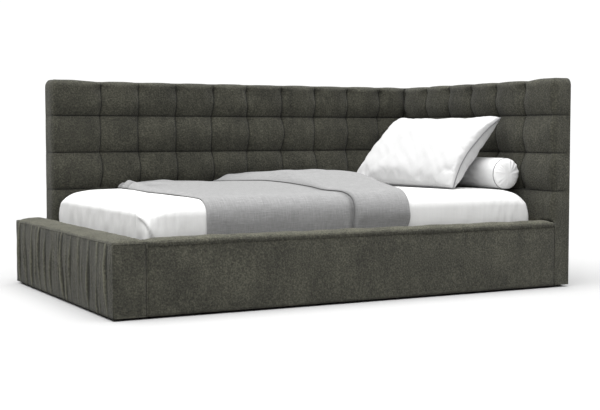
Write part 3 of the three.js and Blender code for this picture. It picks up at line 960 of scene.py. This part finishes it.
def sheet_drape(x, y, z):
    """How far the sheet stands off the mattress's side at a place, and how dark its painted shade is
    in its folds.
    """
    drop = (BED_HIGH.z - z) / (BED_HIGH.z - BED_LOW.z)
    around, along = x + y, x - y
    near_foot = math.exp(-max(x - BED_LOW.x, 0) / 0.28)
    near_head = math.exp(-max(BED_HIGH.x - x, 0) / 0.20)
    near_corner = math.exp(-math.hypot(x - BED_LOW.x, y - BED_LOW.y) / 0.30)
    waves = ripple(along * 17 + 0.35 * drop, around * 3 + drop * 1.2, 2.0)
    waves += 0.6 * ripple(along * 34 + 0.8 * drop, around * 5 + drop * 2.0, 9.0)
    height = (0.0012 + 0.0042 * max(near_foot, 1.5 * near_head)) * waves * smooth((drop - 0.12) * 2.0)

    pleats = ripple(along * 48 + 0.6 * drop, drop * 1.5, 4.0)
    hung = max(near_head, 0.65 * near_corner) * smooth((drop - 0.10) * 4.0)
    height += 0.0034 * hung * pleats

    front = smooth((BED_LOW.y + 0.10 - y) / 0.06)
    down = BED_HIGH.z - z
    past = x - (BED_LOW.x - 0.014 + TUCK_SLOPE * (down - 0.04))
    tuck = smooth(past / 0.005 + 0.5) * math.exp(-max(past, 0) / 0.07)
    tuck *= TUCK_DEPTH * front * smooth((down - 0.03) / 0.04)
    fold = fold_line(past, 0.0048) * front * smooth((down - 0.04) / 0.04)
    # Painted shade: dark along the tucked fold and in the hollows of the hanging pleats.
    return height, tuck, max(0.5 * fold, 0.22 * hung * smooth((-pleats - 0.05) / 0.3))


def build_mattress():
    """The mattress in its fitted sheet, with finer cloth at the ends and along the front."""
    low, high = BED_LOW, BED_HIGH
    foot_part, head_part, front_part = low.x + 0.3, high.x - 0.25, low.y + 0.15
    xs = spaced([low.x, foot_part], 0.0075)[:-1] + spaced([foot_part, head_part], 0.017)[:-1]
    xs += spaced([head_part, high.x], 0.009)
    ys = spaced([low.y, front_part], 0.0085)[:-1] + spaced([front_part, high.y], 0.016)
    bm = lattice_box(xs, ys, spaced([low.z, high.z], 0.0085))
    crease = bm.verts.layers.float.new("crease")
    for vertex in bm.verts:
        moved, out, sideways, upwards = bed_rounded(vertex.co)
        if sideways > 0:
            height, tuck, tone = sheet_drape(*moved)
            drape = height * sideways + tuck
            moved += Vector((out.x * drape, out.y * drape, 0))
            vertex[crease] = tone
        flat = max(upwards, 0.0)
        moved.z += flat * bed_crown(moved.x, moved.y)
        moved.z += flat * 0.0024 * ripple(moved.x * 4.5, moved.y * 4.5, 3.3)
        vertex.co = moved
    mattress = piece_from("mattress_in_sheet", bm, MATTRESS, material("white_sheeting"))
    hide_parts("mattress")


BLANKET_FOOT = BLANKET_LOW.x  # its edge towards the foot block
BLANKET_BACK = BLANKET_HIGH.y
BLANKET_EDGE_TURN = 0.012  # radius of the fold at its head end
BLANKET_HEM = RAIL_HIGH.z - 0.020  # how low it hangs behind the rail
BLANKET_CUT = 1.4  # length that its weave is drawn over


def blanket_edges(y):
    """Where the blanket starts, where its folded-back part ends and where it folds, along X."""
    share = min(max((y - BED_LOW.y) / (BLANKET_BACK - BED_LOW.y), 0), 1)
    foot = BLANKET_FOOT + 0.012 - 0.030 * math.sin(math.pi * share) + 0.010 * ripple(y * 3, 1.0)
    foot += 0.030 * smooth((share - 0.6) / 0.4)
    foot += 0.012 * ripple(y * 9, 5.0) * smooth((share - 0.4) / 0.3)
    crease = BLANKET_FOOT + 0.655 + 0.070 * (1 - smooth(share / 0.12))
    crease += 0.080 * math.sin(math.pi * max(share - 0.15, 0) / 0.95)
    crease -= 0.130 * smooth((share - 0.75) / 0.3)
    fold = BLANKET_FOOT + 1.012 + 0.225 * smooth(share * 1.25) + 0.012 * ripple(y * 4, 2.0)
    return foot, crease, fold


def blanket_profile(t, offset):
    """A point over the mattress's top and down its front, t metres from the back edge, standing
    offset off the mattress. Gives y, z and how far round the front edge it lies."""
    turn_y = BED_LOW.y + BED_EDGE
    flat = BLANKET_BACK - turn_y
    quarter = BED_EDGE * math.pi / 2
    if t < flat:
        return BLANKET_BACK - t, BED_HIGH.z + offset, 0.0
    if t < flat + quarter:
        angle = (t - flat) / BED_EDGE
        reach = BED_EDGE + offset
        return turn_y - reach * math.sin(angle), BED_HIGH.z - BED_EDGE + reach * math.cos(angle), angle
    down = t - flat - quarter
    return BED_LOW.y - offset, BED_HIGH.z - BED_EDGE - down, math.pi / 2


def heap_fold(x, y, share, foot):
    """Small folds in the heap of cloth at the blanket's back corner, 1 along their hollows."""
    heap = smooth((share - 0.5) / 0.25) * math.exp(-max(x - foot - 0.05, 0) / 0.16)
    return heap * fold_line(ripple(x * 5 + y * 3.2, y * 5.5 - x * 2.2, 2.6), 0.11)


def lower_lift(x, y, share, foot, crease):
    """How far the lower layer stands off the mattress at a place on the bed's top."""
    back = smooth(share * 1.3)
    waves = ripple(x * 3.4 + y * 2.4, y * 3.0 - x * 0.8, 4.0)
    waves += 0.5 * ripple(x * 8.5 + y * 3.0, y * 3.6, 7.0)
    waves *= 1 - 0.7 * fold_line(x - crease, 0.22)
    heap = smooth((share - 0.55) / 0.3) * fold_line(x - foot - 0.16, 0.22)
    lift = 0.012 + 0.009 * back + (0.004 + 0.007 * back) * (waves + 0.3)
    lift += heap * (0.012 + 0.012 * ripple(x * 9, y * 7, 3.0))
    roll = smooth((share - 0.45) / 0.3) * fold_line(x - foot - 0.028, 0.036)
    lift += roll * (0.003 + 0.004 * ripple(y * 9, x * 5, 8.0))
    lift -= 0.011 * heap_fold(x, y, share, foot)
    under = smooth((x - crease - 0.01) / 0.05)
    return max(lift * (1 - 0.5 * under), 0.004)


def band_lift(x, y, share, crease, fold):
    """How far the folded-back band stands off the lower layer."""
    back = smooth(share * 1.3)
    ramp = 0.10 + 0.22 * smooth((share - 0.7) / 0.3)
    body = arch((x - crease) / ramp) * (0.5 + 0.5 * arch((fold - x) / (0.05 + 0.12 * back)))
    wrinkles = ripple(x * 11 + y * 1.5, y * 2.6, 9.0) + 0.5 * ripple(x * 23, y * 5, 2.0)
    plump = 0.016 + 0.010 * math.sin(math.pi * min(share * 1.2, 1))
    rise = 0.002 + 0.042 * back + (0.003 + 0.005 * back) * wrinkles
    return plump + max(rise * body, 0)


def rolled(s, width):
    """A rounded hem: the share of its full height, and how far it has turned out, at a share s of
    the way in from the edge, where the hem takes up a width of the cloth."""
    angle = math.pi * min(max(s / width, 0), 1)
    return (1 - math.cos(angle)) / 2, math.sin(angle)


def build_blanket():
    """One sheet of linen over the bed, whose head end is folded back towards the foot."""
    flat = BLANKET_BACK - BED_LOW.y - BED_EDGE
    quarter = BED_EDGE * math.pi / 2
    drop = BED_HIGH.z - BED_EDGE - BLANKET_HEM
    total = flat + quarter + drop
    turn_start, turn_end = 0.70, 0.74  # shares of the length between which it turns back
    hem, foot_hem = 0.035, 0.01575  # shares of the length that the two end hems take up
    columns, rows = 134, 86
    bm = bmesh.new()
    bmesh.ops.create_grid(bm, x_segments=columns, y_segments=rows, size=1)
    pattern = bm.loops.layers.uv.new("cut")
    crease_painted_shade = bm.verts.layers.float.new("crease")
    flats = {}
    for vertex in bm.verts:
        s, t = (vertex.co.x + 1) / 2, (1 - vertex.co.y) / 2 * total
        _, _, round_front = blanket_profile(t, 0)
        over = min(round_front / (math.pi / 2), 1)
        y = max(BLANKET_BACK - t, BED_LOW.y)
        share = max(1 - t / flat, 0.0)
        foot, crease, fold = blanket_edges(y)
        hang = max(t - flat - quarter, 0) / drop
        snug = smooth((hang - 0.10) / 0.66)
        fold_x = fold + 0.014 * math.sin(hang * 3) - 0.01 * hang
        upper = s > turn_start
        if upper:
            x = fold_x - (fold_x - crease) * max(s - turn_end, 0) / (1 - turn_end)
            full, out = rolled(1 - s, hem)
        else:
            x = foot + (fold_x - foot) * s / turn_start
            full, out = rolled(s, foot_hem)
        ripples = 0.5 + ripple(x * 7, hang * 1.5, 5.0)
        near = fold_line(x - crease, 0.03)
        front = 0.004 + (0.004 + 0.003 * ripples) * (1 - near) * (1 - snug)
        lift = lower_lift(x, y, share, foot, crease) * (1 - over) + front * over
        if upper:
            gap = 0.0075 * snug + (0.015 + 0.003 * ripples) * (1 - snug)
            band = band_lift(x, y, share, crease, fold) * (1 - over) + gap * over
            lift += 0.004 + (band - 0.004) * full
            x += 0.010 * (1 - out) * (s > 1 - hem) * (1 - snug)
        else:
            lift = 0.003 + (lift - 0.003) * full
            x += 0.008 * (1 - out) * (s < foot_hem)
        # Painted shade: dark at the band's rolled free edge, along the crease on the lower layer and
        # in the heap's fold hollows, weaker towards the back.
        tone = fold_line(1 - s, 0.011) if upper else 0.8 * fold_line(x - crease, 0.014)
        folds = 0.0 if upper else 0.7 * heap_fold(x, y, share, foot)
        vertex[crease_painted_shade] = max(tone * (1 - 0.6 * smooth(share * 1.5)), folds)
        if turn_start < s < turn_end:
            angle = (s - turn_start) / (turn_end - turn_start) * math.pi
            below = lower_lift(fold_x, y, share, foot, crease) * (1 - over) + front * over
            lift = below + (lift - below) * (1 - math.cos(angle)) / 2
            x = fold_x + BLANKET_EDGE_TURN * math.sin(angle)
        py, pz, _ = blanket_profile(t, lift)
        pz += bed_crown(x, py) * (1 - over)
        vertex.co = Vector((x, py, pz))
        flats[vertex] = (s * BLANKET_CUT, t)
    for face in bm.faces:
        for loop in face.loops:
            loop[pattern].uv = flats[loop.vert]
    bmesh.ops.recalc_face_normals(bm, faces=bm.faces)
    blanket = piece_from("blanket_linen", bm, MATTRESS, material("grey_linen"))
    soften(blanket)
    thickness = blanket.modifiers.new("Cloth thickness", "SOLIDIFY")
    thickness.thickness = 0.003
    thickness.offset = 0
    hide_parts("blanket")


# ---------------------------------------------------------------- pillow and bolster


def plumpness(u, v):
    """Share of a pillow's full thickness, where u and v run from -1 to 1 across it."""
    return (max(1 - u * u, 0) ** 0.9 * max(1 - v * v, 0)) ** 0.30


def flat_pillow(length, width, thickness):
    """Two layers of cloth joined all round, apart in the middle. The verts of the seam carry their
    order round it, counted from 1, in the layer called rim."""
    columns, rows = 96, 68
    bm = bmesh.new()
    for side in (-1, 1):
        grid = bmesh.ops.create_grid(bm, x_segments=columns, y_segments=rows, size=1)
        for vertex in grid["verts"]:
            u, v = vertex.co.x, vertex.co.y
            vertex.co.z = side * thickness / 2 * plumpness(u, v)
    bmesh.ops.remove_doubles(bm, verts=bm.verts, dist=1e-5)
    rim = bm.verts.layers.int.new("rim")
    for vertex in bm.verts:
        u, v = vertex.co.x, vertex.co.y
        if max(abs(u), abs(v)) > 1 - 1e-6:
            i, j = round((u + 1) / 2 * columns), round((v + 1) / 2 * rows)
            if j == 0:
                order = i
            elif i == columns:
                order = columns + j
            elif j == rows:
                order = columns + rows + columns - i
            else:
                order = 2 * columns + rows + rows - j
            vertex[rim] = order + 1
    for vertex in bm.verts:
        u, v, z = vertex.co
        full = plumpness(u, v)
        blunt = 1 - 0.012 * (u * u * v * v) ** 6
        drawn = smooth((-u - 0.35) / 0.6) * (1 - v * v) * (1 - full)
        fat_end = 0.016 * fold_line(abs(u) - 0.94, 0.06) * (1 - v * v) * math.copysign(1, u)
        fat_side = 0.010 * fold_line(abs(v) - 0.93, 0.07) * (1 - u * u) * math.copysign(1, v)
        vertex.co.x = length / 2 * u * (1 - 0.066 * (1 - v * v) * u * u) * blunt + fat_end
        vertex.co.y = width / 2 * v * (1 - 0.060 * (1 - u * u) * v * v) * blunt + fat_side
        vertex.co.z = z - 0.034 * drawn
    bmesh.ops.recalc_face_normals(bm, faces=bm.faces)
    return bm


PILLOW_SWELL = 0.022  # how much thicker the filling makes the pillow
BED_CLEARANCE = 0.0015  # between the mattress and what rests on it


def pillow_place(look):
    """The pillow's turn and middle: it leans back on the bolster, with its length across the bed."""
    along = Vector((-math.sin(look.pillow_turn), math.cos(look.pillow_turn), 0))
    level = Vector((math.cos(look.pillow_turn), math.sin(look.pillow_turn), 0))
    up = level * math.cos(look.pillow_lean) + Vector((0, 0, math.sin(look.pillow_lean)))
    turn = Matrix((along, up, along.cross(up))).transposed().to_4x4()
    return turn, (PILLOW_LOW + PILLOW_HIGH) / 2 - Vector((0, 0, 0.007))


def pillow_creases(u, v):
    """Height of the creases that the filling drags into the cover."""
    drag = ripple((u + 0.5 * v) * 4.6, (v - 0.4 * u) * 1.3, 4.4)
    drag += 0.6 * ripple((u - 0.7 * v) * 8.0, (v + 0.5 * u) * 2.0, 1.4)
    full = plumpness(min(abs(u), 1), min(abs(v), 1))
    return 0.0052 * drag * full * (1 - 0.5 * math.exp(-(u * u + v * v) / 0.2))


def build_pillow(look):
    """The filled pillow, set down on the mattress, and the piping round its seam."""
    length, width = look.pillow_length, look.pillow_width
    bm = flat_pillow(length, width, look.pillow_thickness - PILLOW_SWELL)
    pillow = piece_from("pillow_cover", bm, PILLOW, material("pillow_cotton"))
    seam_verts = [i for i, item in enumerate(pillow.data.attributes["rim"].data) if item.value]
    inflate(pillow, seam_verts, 1.0, 16, 0.013)
    reach = max(abs(vertex.co.z) for vertex in pillow.data.vertices)
    flatter = min(look.pillow_thickness / 2 / reach, 1)
    turn, middle = pillow_place(look)
    soft = 0.022
    for vertex in pillow.data.vertices:
        point = vertex.co.copy()
        u, v = 2 * point.x / length, 2 * point.y / width
        point.z = point.z * flatter * (1 - 0.12 * v) + 0.008 * v * v - 0.006 * u * u
        point.z += 0.008 * ripple(u * 1.7, v * 1.3, 6.0) + pillow_creases(u, v)
        point.y += 0.006 * math.cos(10.3 * (u - 0.36)) * smooth(1.3 - abs(u)) * max(v, 0) ** 2
        spot = middle + turn @ point
        above = BED_HIGH.z + bed_crown(spot.x, spot.y) + BED_CLEARANCE + soft
        if spot.z < above:
            spot.z = above - soft * math.tanh((above - spot.z) / soft)
        vertex.co = spot
    pillow.data.update()
    rim = [item.value for item in pillow.data.attributes["rim"].data]
    seam = sorted((order, i) for i, order in enumerate(rim) if order)
    points = [pillow.data.vertices[i].co.copy() for _, i in seam]
    tube("pillow_piping", points, 0.0028, PILLOW, material("grey_piping"), closed=True)
    soften(pillow)
    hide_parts("pillow")


def build_bolster():
    """A round bolster spun about its length, with gathered ends and piping round their seams."""
    radius = (BOLSTER_HIGH.z - BOLSTER_LOW.z) / 2
    dome = 0.030  # how far its ends stand out
    middle = (BOLSTER_LOW + BOLSTER_HIGH) / 2 - Vector((0, 0, BED_SAG))
    half = (BOLSTER_HIGH.y - BOLSTER_LOW.y) / 2 - 0.028
    steps, body_steps = 12, 44
    angles = [i / steps * math.pi / 2 for i in range(steps)]
    end = [(radius * math.sin(angle), half + dome * math.cos(angle)) for angle in angles]
    profile = [(r, -y) for r, y in end]
    profile += [(radius, -half + 2 * half * i / body_steps) for i in range(body_steps + 1)]
    profile += reversed(end)
    bm = bmesh.new()
    line = [bm.verts.new((r, y, 0)) for r, y in profile]
    for first, second in zip(line, line[1:]):
        bm.edges.new((first, second))
    bmesh.ops.spin(
        bm, geom=[*bm.verts, *bm.edges], cent=(0, 0, 0), axis=(0, 1, 0), steps=112,
        angle=math.tau, use_merge=True)
    bmesh.ops.remove_doubles(bm, verts=bm.verts, dist=1e-6)
    for vertex in bm.verts:
        x, y, z = vertex.co
        out = Vector((x, 0, z))
        turn = out.normalized() if out.length > 1e-6 else Vector((0, 0, 0))
        beyond = abs(y) - half
        if beyond > 1e-4:
            rim = out.length / radius
            folds = abs(ripple(turn.x * 3.1, turn.z * 3.1, 5.0)) * 2.2
            folds += 0.5 * abs(ripple(turn.x * 7.5, turn.z * 7.5, 2.0)) * 2.2
            depth = 0.006 * smooth(rim * 1.15) * smooth((1.02 - rim) / 0.22)
            vertex.co.y += math.copysign(depth * (min(folds, 1) - 0.6), y)
            vertex.co += turn * 0.005 * smooth((1 - rim) / 0.12) * smooth(rim / 0.6) * (folds - 0.5)
            vertex.co.y += math.copysign(0.004 * ripple(x * 30, z * 30, 4.0) * smooth(1 - rim), y)
        else:
            edge = half - abs(y)
            puff = 0.0022 * arch(edge / 0.03) - 0.001
            puff += 0.0016 * ripple(x * 14, y * 8, z * 14)
            puff += 0.0018 * math.exp(-edge / 0.03) * ripple(turn.x * 8, y * 20, turn.z * 8)
            vertex.co += turn * puff
        rest = -radius + 0.007
        if vertex.co.z < rest:
            vertex.co.z = rest - 0.005 * math.tanh((rest - vertex.co.z) / 0.005)
    bmesh.ops.translate(bm, vec=middle, verts=bm.verts)
    bmesh.ops.recalc_face_normals(bm, faces=bm.faces)
    bolster = piece_from("bolster_cover", bm, BOLSTER, material("bolster_cotton"))
    soften(bolster)
    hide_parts("bolster")
    for side, where in ((-1, "front"), (1, "back")):
        ring = []
        for i in range(96):
            angle = math.tau * i / 96
            point = Vector((math.cos(angle), 0, math.sin(angle))) * (radius - 0.0005)
            point.z = max(point.z, -radius + 0.0035)
            ring.append(middle + point + Vector((0, side * half, 0)))
        tube(f"bolster_{where}_piping", ring, 0.0021, BOLSTER, material("grey_piping"),
             closed=True)


# ---------------------------------------------------------------- base and fittings


def finish_frame_nodes():
    """Gives every carried-over node of the frame its own finish."""
    finishes = {
        "birch": "lacquered_birch", "steel": "black_powder_coat", "plastic": "black_plastic",
        "timber": "raw_board"}
    slots = {part["node"]: part["material_slot"] for part in frame["record"]["subparts"]}
    for name, piece in frame["nodes"].items():
        finish = finishes.get(slots[name])
        if finish is None:
            continue
        low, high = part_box(name)
        if finish == "raw_board" and high.y - low.y > high.x - low.x:
            finish = "raw_board_across"
        if name.startswith("corner_bracket"):
            finish = "zinc_steel"
        piece.data.materials.clear()
        piece.data.materials.append(material(finish))


def build_slat_caps():
    """A moulded cap over each end of each slat."""
    bm = bmesh.new()
    names = sorted(name for name in frame["nodes"] if name.startswith("slat_"))
    wall, reach = 0.0025, 0.034
    for name in names:
        low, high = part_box(name)
        for start, end in ((low.y - 0.0015, low.y + reach), (high.y - reach, high.y + 0.0015)):
            size = Vector((high.x - low.x + 2 * wall, end - start, high.z - low.z + wall))
            middle = Vector(((low.x + high.x) / 2, (start + end) / 2, (low.z + high.z + wall) / 2))
            cap = bmesh.ops.create_cube(bm, size=1)
            place = Matrix.Translation(middle) @ Matrix.Diagonal((*size, 1))
            bmesh.ops.transform(bm, matrix=place, verts=cap["verts"])
            edges = {edge for vertex in cap["verts"] for edge in vertex.link_edges}
            bmesh.ops.bevel(
                bm, geom=list(edges), offset=0.0018, affect="EDGES", segments=2, profile=0.5,
                material=-1)
    caps = piece_from("slat_end_caps", bm, BED, material("black_plastic"))
    caps.data.shade_flat()


def build_bracket_screws():
    """Pan-head screws through the two leaves of each corner bracket."""
    bm = bmesh.new()
    head = 0.0055
    for name in sorted(name for name in frame["nodes"] if name.startswith("corner_bracket")):
        low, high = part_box(name)
        at_foot, at_front = name.endswith("foot"), "front" in name
        leaf_x = low.x + 0.004 if at_foot else high.x - 0.004
        leaf_y = low.y + 0.004 if at_front else high.y - 0.004
        far_x = high.x - 0.018 if at_foot else low.x + 0.018
        far_y = high.y - 0.018 if at_front else low.y + 0.018
        into_x = (1 if at_foot else -1, 0, 0)
        into_y = (0, 1 if at_front else -1, 0)
        for z in (low.z + 0.025, high.z - 0.025):
            for spot, way in (((leaf_x, far_y, z), into_x), ((far_x, leaf_y, z), into_y)):
                turn = Vector((0, 0, 1)).rotation_difference(Vector(way)).to_matrix().to_4x4()
                made = bmesh.ops.create_uvsphere(bm, u_segments=16, v_segments=8, radius=head)
                squash = Matrix.Diagonal((1, 1, 0.55, 1))
                bmesh.ops.transform(
                    bm, matrix=Matrix.Translation(spot) @ turn @ squash, verts=made["verts"])
    piece_from("bracket_screws", bm, BED, material("zinc_steel"))


# ---------------------------------------------------------------- studio


CAMERA_PLACE = (-2.7371, -5.1857, 0.7482)
CAMERA_DOWN = math.radians(3.466)  # how far below level it looks
CAMERA_RIGHT = math.radians(28.32)  # how far it looks round from +Y towards +X
LAMP_SIZE = math.radians(80)  # how wide the overhead light looks from the bed
LAMP_TILT = (math.radians(7), math.radians(-9), 0)


def build_floor(look):
    """The pale floor that the bed stands on."""
    bm = bmesh.new()
    bmesh.ops.create_grid(bm, x_segments=1, y_segments=1, size=40)
    mesh = bpy.data.meshes.new("studio_floor")
    bm.to_mesh(mesh)
    bm.free()
    floor = bpy.data.objects.new("studio_floor", mesh)
    bpy.context.scene.collection.objects.link(floor)
    floor_material, tree, shader, at = new_material("pale_floor", 0.9)
    tone = spread(tree, noise_at(tree, at["Object"], 0.4, 2.0), 0.3, 0.7)
    paler = tuple(part * 1.01 for part in look.floor_colour)
    tree.links.new(mixed(tree, tone, tuple(look.floor_colour), paler), shader.inputs["Base Color"])
    mesh.materials.append(floor_material)


def build_studio(look):
    """The floor, the light from all round, the soft light above and the camera."""
    scene = bpy.context.scene
    scene.view_settings.view_transform = "Standard"
    build_floor(look)

    world = bpy.data.worlds.new("studio")
    world.use_nodes = True
    scene.world = world
    tree = world.node_tree
    tree.nodes.clear()
    around = node(tree, "ShaderNodeBackground", {"Color": (1, 1, 1, 1), "Strength": look.ambient})
    seen = node(tree, "ShaderNodeBackground", {"Color": (1, 1, 1, 1), "Strength": 1.05})
    ray = node(tree, "ShaderNodeLightPath").outputs["Is Camera Ray"]
    mix = node(tree, "ShaderNodeMixShader", {0: ray, 1: around.outputs[0], 2: seen.outputs[0]})
    node(tree, "ShaderNodeOutputWorld", {"Surface": mix.outputs[0]})

    lamp = bpy.data.lights.new("overhead_softbox", "SUN")
    lamp.energy = look.overhead
    lamp.angle = LAMP_SIZE
    softbox = bpy.data.objects.new("overhead_softbox", lamp)
    softbox.rotation_euler = Euler(LAMP_TILT)
    scene.collection.objects.link(softbox)

    lens = bpy.data.cameras.new("camera")
    lens.lens = look.lens
    lens.sensor_width = 36
    camera = bpy.data.objects.new("camera", lens)
    camera.location = CAMERA_PLACE
    camera.rotation_euler = Euler((math.pi / 2 - CAMERA_DOWN, 0, -CAMERA_RIGHT))
    scene.collection.objects.link(camera)
    scene.camera = camera


# ---------------------------------------------------------------- operators and panel


class DAYBED_OT_studio(bpy.types.Operator):
    """Makes the floor, light and camera, and the materials that the other steps use"""

    bl_idname = "daybed.studio"
    bl_label = "Studio and Materials"

    def execute(self, context):
        scene = context.scene
        make_materials(scene.daybed_upholstery, scene.daybed_bedding)
        build_studio(scene.daybed_studio)
        return {"FINISHED"}


class DAYBED_OT_panels(bpy.types.Operator):
    """Upholsters the tufted back and head panels"""

    bl_idname = "daybed.panels"
    bl_label = "Tufted Panels"

    def execute(self, context):
        build_panels(context.scene.daybed_upholstery)
        return {"FINISHED"}


class DAYBED_OT_foot_block(bpy.types.Operator):
    """Upholsters the gathered foot block"""

    bl_idname = "daybed.foot_block"
    bl_label = "Foot Block"

    def execute(self, context):
        build_foot_block(context.scene.daybed_upholstery)
        return {"FINISHED"}


class DAYBED_OT_front_rail(bpy.types.Operator):
    """Upholsters the front rail"""

    bl_idname = "daybed.front_rail"
    bl_label = "Front Rail"

    def execute(self, context):
        build_front_rail(context.scene.daybed_upholstery)
        return {"FINISHED"}


class DAYBED_OT_base(bpy.types.Operator):
    """Finishes the boards, slats and steel, and adds the slat caps and screws"""

    bl_idname = "daybed.base"
    bl_label = "Slatted Base"

    def execute(self, context):
        finish_frame_nodes()
        build_slat_caps()
        build_bracket_screws()
        return {"FINISHED"}


class DAYBED_OT_mattress(bpy.types.Operator):
    """Puts the mattress in its fitted sheet"""

    bl_idname = "daybed.mattress"
    bl_label = "Mattress"

    def execute(self, context):
        build_mattress()
        return {"FINISHED"}


class DAYBED_OT_blanket(bpy.types.Operator):
    """Drapes the folded linen blanket over the mattress"""

    bl_idname = "daybed.blanket"
    bl_label = "Blanket"

    def execute(self, context):
        build_blanket()
        return {"FINISHED"}


class DAYBED_OT_pillows(bpy.types.Operator):
    """Fills and places the bolster and the leaning pillow"""

    bl_idname = "daybed.pillows"
    bl_label = "Bolster and Pillow"

    def execute(self, context):
        build_bolster()
        build_pillow(context.scene.daybed_bedding)
        return {"FINISHED"}


STEPS = (
    DAYBED_OT_studio, DAYBED_OT_panels, DAYBED_OT_foot_block, DAYBED_OT_front_rail, DAYBED_OT_base,
    DAYBED_OT_mattress, DAYBED_OT_blanket, DAYBED_OT_pillows)


class VIEW3D_PT_daybed(bpy.types.Panel):
    """Lists the steps that make the daybed, and its settings"""

    bl_idname = "VIEW3D_PT_daybed"
    bl_label = "Corner Daybed"
    bl_space_type = "VIEW_3D"
    bl_region_type = "UI"
    bl_category = "Daybed"

    def draw(self, context):
        for step in STEPS:
            self.layout.operator(step.bl_idname)
        for group in (context.scene.daybed_upholstery, context.scene.daybed_bedding,
                      context.scene.daybed_studio):
            column = self.layout.column()
            for key in group.__annotations__:
                column.prop(group, key)


GROUPS = (
    (DaybedUpholstery, "daybed_upholstery"), (DaybedBedding, "daybed_bedding"),
    (DaybedStudio, "daybed_studio"))


def register():
    for group, name in GROUPS:
        bpy.utils.register_class(group)
        setattr(bpy.types.Scene, name, PointerProperty(type=group))
    for step in STEPS:
        bpy.utils.register_class(step)
    bpy.utils.register_class(VIEW3D_PT_daybed)


def unregister():
    bpy.utils.unregister_class(VIEW3D_PT_daybed)
    for step in reversed(STEPS):
        bpy.utils.unregister_class(step)
    for group, name in reversed(GROUPS):
        delattr(bpy.types.Scene, name)
        bpy.utils.unregister_class(group)


def main():
    register()
    for step in STEPS:
        area, name = step.bl_idname.split(".")
        getattr(getattr(bpy.ops, area), name)()


if __name__ == "__main__":
    main()
